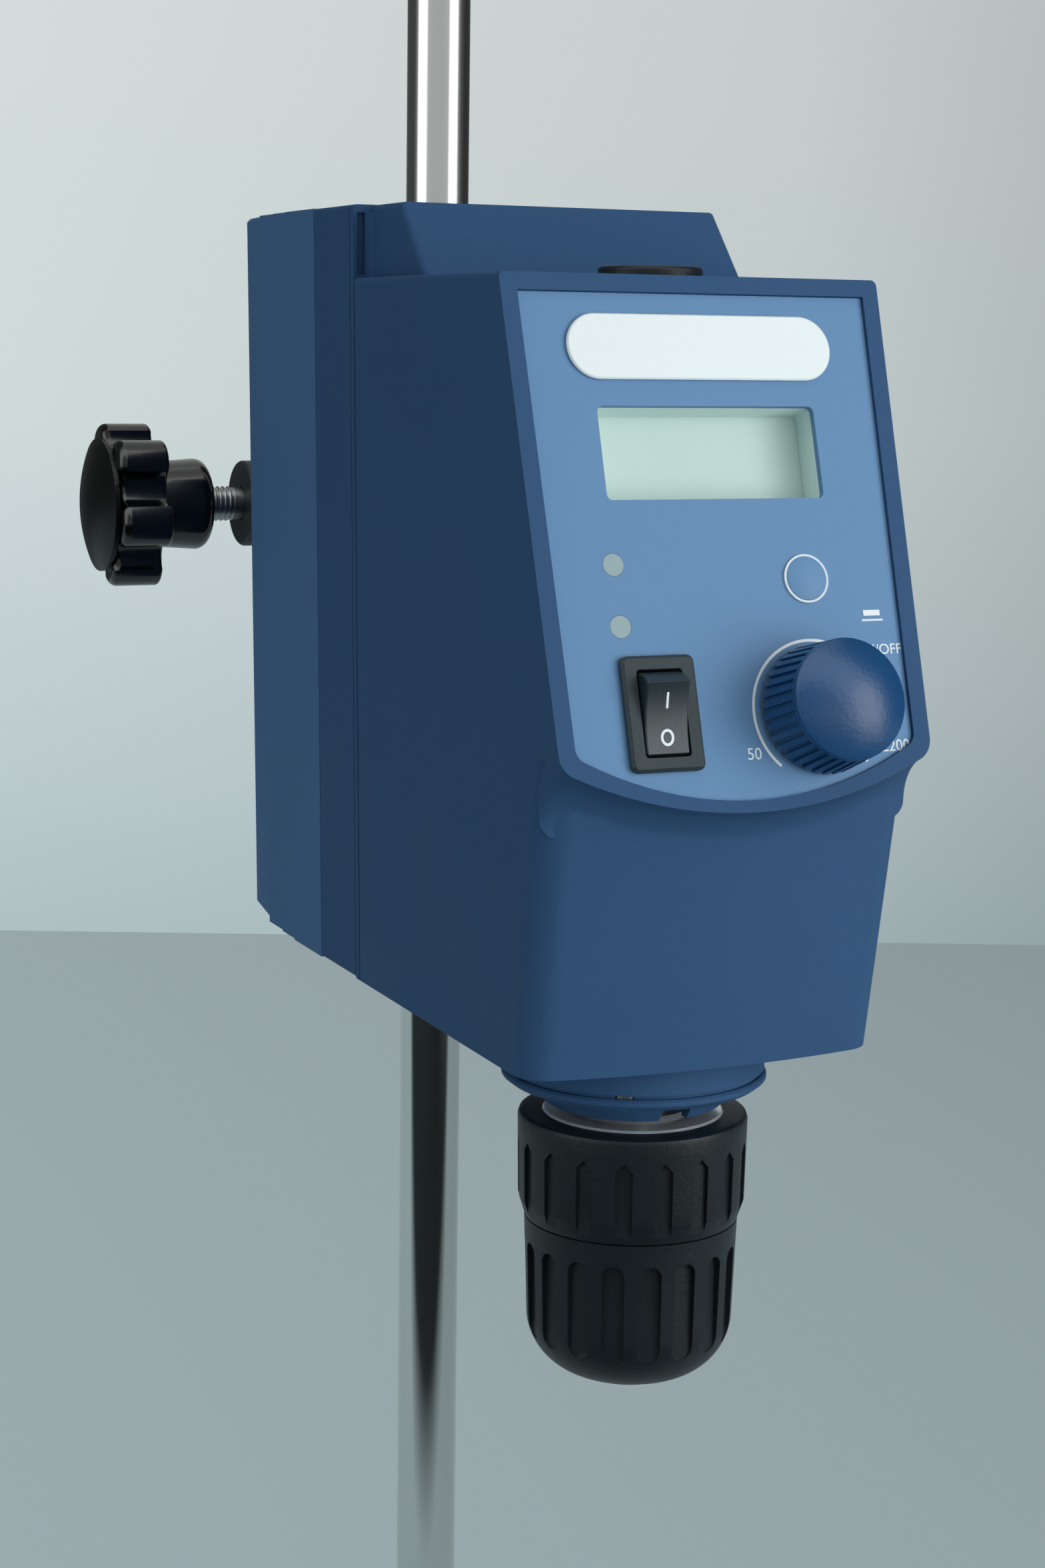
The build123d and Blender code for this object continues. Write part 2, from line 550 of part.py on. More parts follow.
def mode_button():
    """Push button with a slightly domed face."""
    low = overlay_face - BOARD_DEPTH + BUTTON_STROKE + 0.2
    rim = overlay_face + BUTTON_RISE
    sphere = (BUTTON_RADIUS ** 2 + BUTTON_DOME ** 2) / (2 * BUTTON_DOME)
    middle = BUTTON_RADIUS / 2
    outline = Polyline((0, 0, rim + BUTTON_DOME), (0, 0, low), (BUTTON_RADIUS, 0, low), (BUTTON_RADIUS, 0, rim))
    outline += ThreePointArc((BUTTON_RADIUS, 0, rim), (middle, 0, rim + asin_point(middle, sphere, BUTTON_DOME)),
                             (0, 0, rim + BUTTON_DOME))
    cap = on_panel(revolve(make_face(outline), Axis.Z), BUTTON_ACROSS, BUTTON_DOWN)
    return cap + stub(BUTTON_RADIUS + 1.2, low, overlay_back - PANEL_BACK - FREE, BUTTON_ACROSS, BUTTON_DOWN)


def switch_body():
    """Snap-in frame of the rocker switch with its box of contacts behind the panel."""
    flange = rounded_block(SWITCH_WIDTH, SWITCH_HEIGHT, overlay_face, overlay_face + SWITCH_RISE, 1.4,
                           SWITCH_ACROSS, SWITCH_DOWN)
    flange = chamfer(flange.faces().sort_by(Axis.Y)[0].edges(), SWITCH_EDGE)
    box = rounded_block(SWITCH_WIDTH - 2 * SWITCH_LIP, SWITCH_HEIGHT - 2 * SWITCH_LIP, overlay_face - SWITCH_DEPTH,
                        overlay_face, 0.8, SWITCH_ACROSS, SWITCH_DOWN)
    tabs = [rounded_block(1, 5, overlay_face - SWITCH_DEPTH - 6, overlay_face - SWITCH_DEPTH, 0.3,
                          SWITCH_ACROSS, SWITCH_DOWN + shift) for shift in (-5, 5)]
    body = flange + box + tabs[0] + tabs[1]
    well = rounded_block(SWITCH_OPENING_WIDTH, SWITCH_OPENING_HEIGHT, overlay_face - ROCKER_WELL,
                         overlay_face + SWITCH_RISE + 1, SWITCH_OPENING_CORNER, SWITCH_ACROSS, SWITCH_DOWN)
    return body - well


def switch_rocker():
    """Paddle with a hollow face and round ends that sweep past the opening; the lower end is pressed."""
    sweep = SWITCH_OPENING_HEIGHT / 2 - FREE
    rise = sqrt(sweep ** 2 - ROCKER_HALF ** 2)
    foot = sqrt(sweep ** 2 - ROCKER_BODY ** 2)
    # side outline in (up the slope, out of the panel), centred on the pivot
    outline = ThreePointArc((0, -ROCKER_HALF, rise), (0, 0, rise - ROCKER_HOLLOW), (0, ROCKER_HALF, rise))
    outline += ThreePointArc((0, ROCKER_HALF, rise), (0, sweep, 0), (0, foot, -ROCKER_BODY))
    outline += Line((0, foot, -ROCKER_BODY), (0, -foot, -ROCKER_BODY))
    outline += ThreePointArc((0, -foot, -ROCKER_BODY), (0, -sweep, 0), (0, -ROCKER_HALF, rise))
    paddle = Pos(-ROCKER_WIDTH / 2, 0, 0) * extrude(make_face(outline), ROCKER_WIDTH, dir=(1, 0, 0))
    return on_panel(Rot(ROCKER_TILT, 0, 0) * paddle, SWITCH_ACROSS, SWITCH_DOWN, overlay_face - ROCKER_AXIS)


# ---- middle frame and rear cover -------------------------------------------

def middle_frame():
    """Cast ring between the housings, with the bulkhead that carries the mounting bar."""
    front = SEAM_Y + PARTING
    frame = head_block(front, frame_rear_y, HEAD_TOP_Z)
    frame = fillet(frame.edges().filter_by(Axis.Y), SHELL_EDGE)
    frame -= head_block(front - 1, frame_rear_y - BULKHEAD, HEAD_TOP_Z, WALL + 1)
    boss = along_y(Cylinder(BAR_RADIUS + 5, BAR_BOSS), 0, frame_rear_y + BAR_BOSS / 2, BAR_Z)
    frame += boss
    frame -= along_y(Cylinder(BAR_RADIUS + SEAT, 2 * (BAR_BOSS + BULKHEAD)), 0, frame_rear_y, BAR_Z)
    for x, z in cover_screw_places():
        frame -= along_y(Cylinder(M3_RADIUS + SEAT, 3 * BULKHEAD), x, frame_rear_y, z)
    cable_way = Pos(-head_half(0) / 2, frame_rear_y, BAR_Z / 2 - 8) * Box(18, 4 * BULKHEAD, 26)
    return frame - cable_way


def rear_form(inset=0.0):
    """Rear cover whose sides narrow towards the back: two small steps, then a taper."""
    starts = (frame_rear_y + PARTING, *REAR_STEPS)
    ends = (*REAR_STEPS, REAR_TAPER_Y)
    form = loft([rear_section(REAR_TAPER_Y, REAR_STEP * len(starts), inset),
                 rear_section(REAR_Y - inset, REAR_STEP * len(starts) + REAR_INSET, inset, REAR_LIFT)])
    for index, (start, end) in enumerate(zip(starts, ends)):
        form += extrude(rear_section(start, REAR_STEP * index, inset), end - start, dir=(0, 1, 0))
    return form


def rear_section(y, narrow, inset, lift=0.0):
    """Section of the rear cover, narrower at both sides by the same amount."""
    low_half = head_half(0) - narrow - inset
    top_half = head_half(HEAD_TOP_Z) - narrow - inset
    low, top = inset + lift, HEAD_TOP_Z - inset
    corners = [(-low_half, y, low), (low_half, y, low), (top_half, y, top), (-top_half, y, top)]
    return make_face(Polyline(*corners, close=True))


def rear_cover():
    cover = rear_form()
    back = cover.faces().sort_by(Axis.Y)[-1]
    cover = fillet(back.edges().filter_by(lambda e: abs(e.tangent_at(0.5).Z) > 0.9), REAR_CORNER)
    taper = cover.edges().filter_by(lambda e: e.center().Y > REAR_TAPER_Y + REAR_EDGE)
    cover = chamfer(taper.filter_by(lambda e: abs(e.tangent_at(0.5).Z) < 0.5), REAR_EDGE)
    cavity_half = head_half(0) - WALL - REAR_STEP * (len(REAR_STEPS) + 1) - REAR_INSET
    depth = REAR_Y - WALL - frame_rear_y
    low, top = WALL + REAR_LIFT, HEAD_TOP_Z - WALL
    cover -= Pos(0, frame_rear_y + depth / 2, (low + top) / 2) * Box(2 * cavity_half, depth, top - low)
    cover -= along_y(Cylinder(BAR_RADIUS + FREE, 4 * WALL), 0, REAR_Y, BAR_Z)
    cover -= Pos(INLET_X, REAR_Y, INLET_Z) * Box(INLET_WIDTH + 2 * SEAT, 4 * WALL, INLET_HEIGHT + 2 * SEAT)
    for row in range(VENT_ROWS):
        slot = extrude(Plane.XZ * SlotOverall(VENT_LENGTH, VENT_HEIGHT), 4 * WALL, both=True)
        cover -= Pos(0, REAR_Y, VENT_Z + row * VENT_PITCH) * slot
    for x, z in cover_screw_places():
        cover += along_y(Cylinder(M3_RADIUS + 2.2, depth), x, frame_rear_y + PARTING + depth / 2, z) & rear_form()
        cover -= along_y(Cylinder(M3_RADIUS + FREE, 2 * REAR_Y), x, REAR_Y, z)
        cover -= along_y(Cylinder(M3_HEAD_RADIUS + FREE, 2 * M3_HEAD_DEPTH), x, REAR_Y, z)
    return cover


def cover_screw_places():
    return [(x, z) for x in (-COVER_SCREW_X, COVER_SCREW_X) for z in COVER_SCREW_ZS]


def cover_screws():
    """Pan-head screws that pull the rear cover on to the middle frame."""
    screws = []
    head_y = REAR_Y - M3_HEAD_DEPTH
    foot_y = frame_rear_y - BULKHEAD
    for x, z in cover_screw_places():
        shank = along_y(Cylinder(M3_RADIUS, head_y - foot_y), x, (head_y + foot_y) / 2, z)
        head = along_y(Cylinder(M3_HEAD_RADIUS, M3_HEAD), x, head_y + M3_HEAD / 2, z)
        cross = along_y(Box(0.8, 3.4, 2.4) + Box(3.4, 0.8, 2.4), x, head_y + M3_HEAD, z)
        screws.append(shank + head - cross)
    return Compound(screws)


def power_inlet():
    """Three-pin inlet for a detachable mains lead."""
    flange = Pos(INLET_X, REAR_Y + 1, INLET_Z) * Box(INLET_WIDTH + 5, 2, INLET_HEIGHT + 4)
    flange = fillet(flange.edges().filter_by(Axis.Y), 2)
    shell = Pos(INLET_X, REAR_Y - INLET_DEPTH / 2, INLET_Z) * Box(INLET_WIDTH, INLET_DEPTH, INLET_HEIGHT)
    floor = REAR_Y - INLET_DEPTH + INLET_FLOOR
    well = Pos(INLET_X, floor + INLET_DEPTH / 2, INLET_Z) * Box(INLET_WIDTH - 4, INLET_DEPTH, INLET_HEIGHT - 4)
    inlet = flange + shell - well
    for x, z in ((-7, -1.6), (7, -1.6), (0, 2.4)):
        inlet += Pos(INLET_X + x, floor + INLET_PIN / 2, INLET_Z + z) * Box(2, INLET_PIN + 1, 4)
    return inlet


def power_board():
    """Motor drive board on the bulkhead, with its capacitors and heat sink."""
    y = frame_rear_y + BOARD_POST
    board = Pos(DRIVE_BOARD_X, y + BOARD / 2, DRIVE_BOARD_Z) * Box(DRIVE_BOARD_WIDTH, BOARD, DRIVE_BOARD_HEIGHT)
    for x, z, r, height in ((-12, 8, 6, 16), (2, 8, 6, 16)):
        board += along_y(Cylinder(r, height), DRIVE_BOARD_X + x, y + BOARD + height / 2, DRIVE_BOARD_Z + z)
    board += Pos(DRIVE_BOARD_X - 5, y + BOARD + 6, DRIVE_BOARD_Z - 10) * Box(30, 12, 10)
    post_y = frame_rear_y + (BOARD_POST + SEAT) / 2
    for x in (-20, 20):
        for z in (-14, 14):
            board += along_y(Cylinder(2.5, BOARD_POST - SEAT), DRIVE_BOARD_X + x, post_y, DRIVE_BOARD_Z + z)
    return board


# ---- spindle drive ----------------------------------------------------------

def bearing_tube():
    shoulder = BEARING_RADIUS - 3
    top = DRIVE_PLATE_Z - SEAT
    points = [(TUBE_RADIUS, WALL + SEAT), (TUBE_RADIUS, top), (BEARING_RADIUS + SEAT, top),
              (BEARING_RADIUS + SEAT, BEARING_HIGH_Z), (shoulder, BEARING_HIGH_Z),
              (shoulder, BEARING_LOW_Z + BEARING_WIDTH), (BEARING_RADIUS + SEAT, BEARING_LOW_Z + BEARING_WIDTH),
              (BEARING_RADIUS + SEAT, WALL + SEAT)]
    return spun(points)


def spindle_bearings():
    low = BEARING_LOW_Z + SEAT
    high = BEARING_HIGH_Z + SEAT
    return Compound([bearing(low), bearing(high)])


def bearing(z):
    """Sealed ball bearing: its seals sit a little below the ring faces."""
    width = BEARING_WIDTH - 2 * SEAT
    shape = ring(BEARING_RADIUS, SPINDLE_RADIUS + RUN, z, z + width)
    for side in (z - 1 + 0.4, z + width - 0.4):
        shape -= ring(BEARING_RADIUS - 2, SPINDLE_RADIUS + 2, side, side + 1)
    return shape


def retaining_rings():
    low = ring(BEARING_RADIUS, BEARING_RADIUS - 2.5, BEARING_LOW_Z - 1.4, BEARING_LOW_Z)
    base = BEARING_HIGH_Z + BEARING_WIDTH
    high = ring(BEARING_RADIUS, BEARING_RADIUS - 2.5, base, base + 1.4)
    gap = Pos(BEARING_RADIUS, 0, 0) * Box(BEARING_RADIUS, 5, 4 * HEAD_TOP_Z)
    return Compound([low - gap, high - gap])


def drive_plate():
    """Plate that carries the motor and closes the bearing tube."""
    rear = frame_rear_y - BULKHEAD - SEAT
    front = -TUBE_RADIUS
    plate = Pos(0, (front + rear) / 2, DRIVE_PLATE_Z + DRIVE_PLATE / 2) * Box(2 * DRIVE_PLATE_HALF, rear - front,
                                                                              DRIVE_PLATE)
    plate = fillet(plate.edges().filter_by(Axis.Z).group_by(Axis.Y)[0], 16)
    plate += Pos(0, rear - DRIVE_PLATE / 2, DRIVE_PLATE_Z + 8) * Box(2 * DRIVE_PLATE_HALF, DRIVE_PLATE, 16)
    plate -= post(SPINDLE_RADIUS + 2, DRIVE_PLATE_Z - 1, DRIVE_PLATE_Z + DRIVE_PLATE + 1)
    plate -= post(MOTOR_PILOT_RADIUS + SEAT, DRIVE_PLATE_Z - 1, DRIVE_PLATE_Z + DRIVE_PLATE + 1, 0, MOTOR_Y)
    for x, y in motor_screw_places():
        plate -= post(M3_RADIUS + SEAT, DRIVE_PLATE_Z - 1, DRIVE_PLATE_Z + DRIVE_PLATE + 1, x, y)
    return plate


def motor_screw_places():
    return [(MOTOR_SCREW_PITCH * cos(radians(a)), MOTOR_Y + MOTOR_SCREW_PITCH * sin(radians(a)))
            for a in (45, 135, 225, 315)]


def motor_screws():
    top = DRIVE_PLATE_Z + DRIVE_PLATE
    screws = []
    for x, y in motor_screw_places():
        screw = post(M3_RADIUS, DRIVE_PLATE_Z - 5, top, x, y) + post(M3_HEAD_RADIUS, top, top + M3_HEAD, x, y)
        screws.append(screw - post(1.2, top + 1, top + M3_HEAD + 1, x, y))
    return Compound(screws)


def motor_housing():
    foot, top = MOTOR_FOOT_Z, DRIVE_PLATE_Z - SEAT
    can = post(MOTOR_RADIUS, foot, top, 0, MOTOR_Y)
    can = chamfer(can.edges(), 1)
    can -= ring(MOTOR_RADIUS + 1, MOTOR_RADIUS - 0.6, foot + 10, foot + 11.5, 0, MOTOR_Y)
    can -= ring(MOTOR_RADIUS + 1, MOTOR_RADIUS - 0.6, top - 11.5, top - 10, 0, MOTOR_Y)
    can += post(MOTOR_PILOT_RADIUS, top, DRIVE_PLATE_Z + DRIVE_PLATE - 1, 0, MOTOR_Y)
    can -= post(MOTOR_SHAFT_RADIUS + RUN, foot + 6, HEAD_TOP_Z, 0, MOTOR_Y)
    for x, y in motor_screw_places():
        can -= post(M3_RADIUS + SEAT, DRIVE_PLATE_Z - 8, DRIVE_PLATE_Z + 1, x, y)
    return can


def motor_shaft():
    return post(MOTOR_SHAFT_RADIUS, MOTOR_FOOT_Z + 6 + FREE, PULLEY_Z + BELT_WIDTH / 2 + 4, 0, MOTOR_Y)


def pulley(radius, bore, y):
    """Flanged pulley with a clamping hub below its belt face."""
    half = BELT_WIDTH / 2 + 0.5
    body = post(radius, PULLEY_Z - half, PULLEY_Z + half + 1.4, 0, y)
    body += post(max(radius - 3, bore + 2), PULLEY_Z - half - 6, PULLEY_Z - half, 0, y)
    for low in (PULLEY_Z - half - 1.4, PULLEY_Z + half):
        body += post(radius + BELT_THICKNESS + 0.6, low, low + 1.4, 0, y)
    return body - post(bore + SEAT, 0, HEAD_TOP_Z, 0, y)


def drive_belt():
    low = PULLEY_Z - BELT_WIDTH / 2
    loops = []
    for grow in (FREE, FREE + BELT_THICKNESS):
        big = Circle(SPINDLE_PULLEY_RADIUS + grow).edges()
        small = (Pos(0, MOTOR_Y) * Circle(MOTOR_PULLEY_RADIUS + grow)).edges()
        loops.append(make_hull(ShapeList(big + small)))
    return Pos(0, 0, low) * (extrude(loops[1], BELT_WIDTH) - extrude(loops[0], BELT_WIDTH))


def spindle():
    """Hollow spindle: a stirring shaft passes up through it."""
    shoulder = SPINDLE_RADIUS + 1.6
    low, high = BEARING_LOW_Z + BEARING_WIDTH + FREE, BEARING_HIGH_Z - FREE
    shape = post(SPINDLE_RADIUS, SPINDLE_SEAT_Z, SPINDLE_TOP_Z) + post(shoulder, low, high)
    return shape - post(SHAFT_BORE, SPINDLE_SEAT_Z - 1, SPINDLE_TOP_Z + 1)


def spindle_collar():
    """Stepped collar under the head, with a skirt that shields the top of the chuck."""
    groove_z = -COLLAR_HEIGHT - COLLAR_GROOVE
    flange_z = groove_z - 2.4
    inner = SPINDLE_RADIUS + 2.5
    points = [(inner, -SEAT), (COLLAR_RADIUS, -SEAT), (COLLAR_RADIUS, -COLLAR_HEIGHT),
              (COLLAR_RADIUS - 0.8, -COLLAR_HEIGHT), (COLLAR_RADIUS - 0.8, groove_z),
              (COLLAR_FLANGE - 0.5, groove_z), (COLLAR_FLANGE, groove_z - 0.5), (COLLAR_FLANGE, groove_z - 1.3),
              (COLLAR_FLANGE - 1.4, flange_z), (SKIRT_TOP_RADIUS, flange_z - 1.4), (SKIRT_RADIUS, SKIRT_FOOT_Z),
              (SKIRT_RADIUS - 2, SKIRT_FOOT_Z), (SKIRT_RADIUS - 2.4, flange_z), (inner, flange_z)]
    collar = spun(points)
    notch = Pos(0, -SKIRT_RADIUS, (SKIRT_FOOT_Z + flange_z - 1.6) / 2) * Box(
        SKIRT_NOTCH, 8, flange_z - 1.6 - SKIRT_FOOT_Z)
    collar -= notch
    for x, y in collar_screw_places():
        collar -= post(M3_RADIUS + SEAT, flange_z - 5, 1, x, y)
        collar -= post(M3_HEAD_RADIUS + FREE, flange_z - 5, -COLLAR_HEIGHT - COLLAR_GROOVE + 1, x, y)
    return collar


def collar_screw_places():
    return [(COLLAR_SCREW_PITCH * cos(radians(a)), COLLAR_SCREW_PITCH * sin(radians(a))) for a in (0, 120, 240)]


def collar_screws():
    seat = -COLLAR_HEIGHT - COLLAR_GROOVE + 1
    screws = []
    for x, y in collar_screw_places():
        screw = post(M3_RADIUS, seat, FLOOR_BOSS - 2, x, y) + post(M3_HEAD_RADIUS, seat - M3_HEAD, seat, x, y)
        screws.append(screw - post(1.2, seat - M3_HEAD - 1, seat - 0.8, x, y))
    return Compound(screws)


def top_cap():
    """Plug over the top end of the spindle."""
    plug = post(CAP_HOLE_RADIUS - RUN, DECK_Z - CAP_PLUG, DECK_Z + SEAT)
    plug -= post(CAP_HOLE_RADIUS - 2, DECK_Z - CAP_PLUG - 1, DECK_Z - 1)
    disc = post(CAP_RADIUS, DECK_Z + SEAT, DECK_Z + CAP_RISE)
    disc = fillet(disc.edges().group_by(Axis.Z)[-1], 0.8)
    return plug + disc


# ---- keyless chuck ------------------------------------------------------------

jaw_slope = tan(radians(JAW_TILT))
jaw_travel = (JAW_OPEN - JAW_SHUT) / sin(radians(JAW_TILT))


def jaw_line(turn, radius, low_z, length):
    """A cylinder on one jaw's inclined line, from a height upward."""
    centre = JAW_TIP_CENTRE + (low_z - JAW_TIP_SHUT_Z) * jaw_slope
    rod = Pos(centre, 0, low_z) * Rot(0, JAW_TILT, 0) * Pos(0, 0, length / 2) * Cylinder(radius, length)
    return Rot(0, 0, turn) * rod


def chuck_jaw(turn):
    """One jaw, made shut with its wedge-shaped grip and then drawn back to open."""
    rod = jaw_line(0, JAW_RADIUS, JAW_TIP_SHUT_Z - 3, JAW_LENGTH + 3)
    reach = 40
    apex = JAW_SHUT
    wedge = make_face(Polyline((apex, 0), (apex + reach * cos(pi / 3), reach * sin(pi / 3)),
                               (apex + reach * cos(pi / 3), -reach * sin(pi / 3)), close=True))
    wedge = Pos(0, 0, JAW_TIP_SHUT_Z) * extrude(wedge, 2 * JAW_LENGTH)
    back = (jaw_travel * sin(radians(JAW_TILT)), 0, jaw_travel * cos(radians(JAW_TILT)))
    return Rot(0, 0, turn) * Pos(*back) * (rod & wedge)


def chuck_body():
    """Steel core: it takes the spindle above and guides the jaws below."""
    flange_low = SLEEVE_SPLIT_Z + 4.5
    cone_top, cone_foot = GRIP_SHOULDER_Z - 2.5, NOSE_Z + 1.6
    nut_high, nut_low = NUT_TOP_Z + FREE, NUT_FOOT_Z - FREE
    top = CHUCK_TOP_Z - 0.8
    points = [(0, top), (CORE_FLANGE_RADIUS, top), (CORE_FLANGE_RADIUS, flange_low), (CORE_RADIUS, flange_low),
              (CORE_RADIUS, nut_high), (NUT_INNER_RADIUS - FREE, nut_high), (NUT_INNER_RADIUS - FREE, nut_low),
              (CORE_RADIUS, nut_low), (CORE_RADIUS, cone_top), (NOSE_RADIUS, cone_foot), (0, cone_foot)]
    core = spun(points)
    core -= post(SPINDLE_RADIUS + SEAT, SPINDLE_SEAT_Z - SEAT, 0)
    core -= post(SHAFT_BORE, NOSE_Z - 1, 0)
    for turn in JAW_TURNS:
        core -= jaw_line(turn, JAW_RADIUS + JAW_GUIDE, JAW_TIP_SHUT_Z, JAW_LENGTH + jaw_travel + 2)
    return core


def chuck_ring():
    """Bright ring on top of the chuck."""
    top, seat = CHUCK_TOP_Z, CHUCK_TOP_Z - 0.8
    points = [(SPINDLE_RADIUS + RUN, seat), (SPINDLE_RADIUS + RUN, top + 0.8), (SPINDLE_RADIUS + 4, top + 0.8),
              (SPINDLE_RADIUS + 5, top), (CHUCK_RING_RADIUS - 0.4, top), (CHUCK_RING_RADIUS, top - 0.4),
              (CHUCK_RING_RADIUS, seat)]
    return spun(points)


def upper_sleeve():
    """Sleeve that is held still, with raked grip grooves."""
    top, foot = CHUCK_TOP_Z - 0.4, SLEEVE_SPLIT_Z + FREE / 2
    shoulder = foot + 4
    inner = CORE_FLANGE_RADIUS + SEAT
    seat = CHUCK_TOP_Z - 0.8
    points = [(CHUCK_RING_RADIUS + SEAT, top), (SLEEVE_RADIUS - 1.2, top), (SLEEVE_RADIUS - 0.3, top - 0.35),
              (SLEEVE_RADIUS, top - 1.2), (SLEEVE_FOOT_RADIUS, shoulder), (GRIP_RADIUS, foot), (inner, foot),
              (inner, seat + SEAT), (CHUCK_RING_RADIUS + SEAT, seat + SEAT)]
    sleeve = spun(points)
    groove = sleeve_groove()
    for index in range(SLEEVE_GROOVES):
        sleeve -= Rot(0, 0, 360 * index / SLEEVE_GROOVES) * groove
    return sleeve


def sleeve_groove():
    """One grip groove: pointed at its upper end, and open where the sleeve draws in at its foot."""
    half = SLEEVE_GROOVE_WIDTH / 2
    shoulder, foot = GROOVE_TOP_Z - GROOVE_POINT, SLEEVE_SPLIT_Z - 1
    face = make_face(Polyline((-half, foot), (half, foot), (half, shoulder), (0, GROOVE_TOP_Z), (-half, shoulder),
                              close=True))
    cutter = extrude(Plane.YZ * face, SLEEVE_GROOVE_DEPTH + 2)
    return Pos(SLEEVE_FOOT_RADIUS - SLEEVE_GROOVE_DEPTH, 0, 0) * cutter


def lower_sleeve():
    """Sleeve that is turned to move the jaws: a fluted barrel with a domed nose."""
    top = SLEEVE_SPLIT_Z - FREE / 2
    inner = CORE_FLANGE_RADIUS + SEAT
    bore = CORE_RADIUS + FREE
    cone_top, cone_foot = GRIP_SHOULDER_Z - 2.5, NOSE_Z + 1.0
    mouth = NOSE_RADIUS + FREE
    outline = Polyline((inner, 0, top), (GRIP_RADIUS, 0, top), (GRIP_FOOT_RADIUS, 0, GRIP_SHOULDER_Z))
    bulge = GRIP_DOME / sqrt(2)
    outline += ThreePointArc((GRIP_FOOT_RADIUS, 0, GRIP_SHOULDER_Z),
                             (GRIP_FOOT_RADIUS - GRIP_DOME + bulge, 0, GRIP_SHOULDER_Z - bulge),
                             (mouth + 0.4, 0, cone_foot))
    outline += Polyline((mouth + 0.4, 0, cone_foot), (mouth + 0.4, 0, cone_foot + 1.2), (bore, 0, cone_top),
                        (bore, 0, NUT_FOOT_Z - FREE), (inner, 0, NUT_FOOT_Z - FREE), (inner, 0, top))
    sleeve = revolve(make_face(outline), Axis.Z)
    flute = flute_cutter()
    for index in range(GRIP_FLUTES):
        sleeve -= Rot(0, 0, FLUTE_TURN + 360 * index / GRIP_FLUTES) * flute
    return sleeve


def flute_cutter():
    """Round-ended flute that runs out into the dome."""
    length, centre = FLUTE_TOP_Z - FLUTE_FOOT_Z, (FLUTE_TOP_Z + FLUTE_FOOT_Z) / 2
    slot = extrude(Plane.YZ * (Rot(0, 0, 90) * SlotOverall(length, FLUTE_WIDTH)), 8)
    return Pos(GRIP_FOOT_RADIUS - FLUTE_DEPTH, 0, centre) * slot


def jaw_nut():
    return ring(CORE_FLANGE_RADIUS, NUT_INNER_RADIUS, NUT_FOOT_Z, NUT_TOP_Z)


def nose_ring():
    low, high = NOSE_Z - 0.4, NOSE_Z + 1.6 - SEAT
    ring_shape = spun([(NOSE_RADIUS - 2.2, low), (NOSE_RADIUS - 0.5, low), (NOSE_RADIUS, low + 0.5),
                       (NOSE_RADIUS, high), (NOSE_RADIUS - 2.2, high)])
    for turn in JAW_TURNS:
        ring_shape -= jaw_line(turn, JAW_RADIUS + JAW_GUIDE, JAW_TIP_SHUT_Z, JAW_LENGTH)
    return ring_shape


# ---- stand ------------------------------------------------------------------

def support_rod():
    foot = ROD_TOP_Z - ROD_LENGTH
    rod = post(ROD_RADIUS, foot + ROD_STUD_LENGTH, ROD_TOP_Z, ROD_X, ROD_Y)
    rod = chamfer(rod.edges().group_by(Axis.Z)[-1], 1)
    return rod + post(ROD_STUD_RADIUS, foot, foot + ROD_STUD_LENGTH, ROD_X, ROD_Y)


def mounting_bar():
    front = frame_rear_y - BULKHEAD
    bar = along_y(Cylinder(BAR_RADIUS, BAR_END_Y - front), 0, (BAR_END_Y + front) / 2, BAR_Z)
    return chamfer(bar.edges().group_by(Axis.Y)[-1], 1)


def bar_collar():
    """Nut ring that locks the bar against the bulkhead boss."""
    low = frame_rear_y + BAR_BOSS + SEAT
    nut = along_y(extrude(RegularPolygon(BAR_RADIUS + 5, 6), 6), 0, low, BAR_Z)
    return nut - along_y(Cylinder(BAR_RADIUS + SEAT, 40), 0, low, BAR_Z)


def boss_head():
    """Clamp body: a crosswise barrel with one boss round the rod and one round the bar."""
    right = clamp_right_x
    length = right - CLAMP_LEFT_X
    middle = (right + CLAMP_LEFT_X) / 2
    barrel = along_x(Cylinder(CLAMP_END_RADIUS, length), middle, ROD_Y, BAR_Z)
    barrel = fillet(barrel.edges(), 1)
    body = barrel + post(CLAMP_BOSS_RADIUS, BAR_Z - CLAMP_BOSS_HEIGHT / 2, BAR_Z + CLAMP_BOSS_HEIGHT / 2, ROD_X, ROD_Y)
    body += along_y(Cylinder(CLAMP_BAR_BOSS_RADIUS, CLAMP_BAR_BOSS_LENGTH), 0, ROD_Y, BAR_Z)
    body -= post(ROD_RADIUS + RUN, 0, 2 * BAR_Z, ROD_X, ROD_Y)
    body -= along_y(Cylinder(BAR_RADIUS + RUN, 80), 0, ROD_Y, BAR_Z)
    body -= along_x(Cylinder(SCREW_RADIUS + RUN, -CLAMP_LEFT_X), CLAMP_LEFT_X / 2, ROD_Y, BAR_Z)
    return body - along_x(Cylinder(SCREW_RADIUS + RUN, right - ROD_X), (right + ROD_X) / 2, ROD_Y, BAR_Z)


def clamp_side(name):
    """End face and inner seat of one clamping screw, with the direction it leaves in."""
    if name == "bar":
        return CLAMP_LEFT_X, -BAR_RADIUS, -1
    return clamp_right_x, ROD_X + ROD_RADIUS, 1


def clamp_pad(name):
    face, seat, side = clamp_side(name)
    low = seat + side * PAD_GAP
    return along_x(Cylinder(SCREW_RADIUS, PAD_THICKNESS), low + side * PAD_THICKNESS / 2, ROD_Y, BAR_Z)


def clamp_screw(name):
    face, seat, side = clamp_side(name)
    start = seat + side * (PAD_GAP + PAD_THICKNESS + SEAT)
    end = face + side * (STAR_STANDOFF + STAR_HUB_LENGTH)
    return along_x(Cylinder(SCREW_RADIUS, abs(end - start)), (start + end) / 2, ROD_Y, BAR_Z)


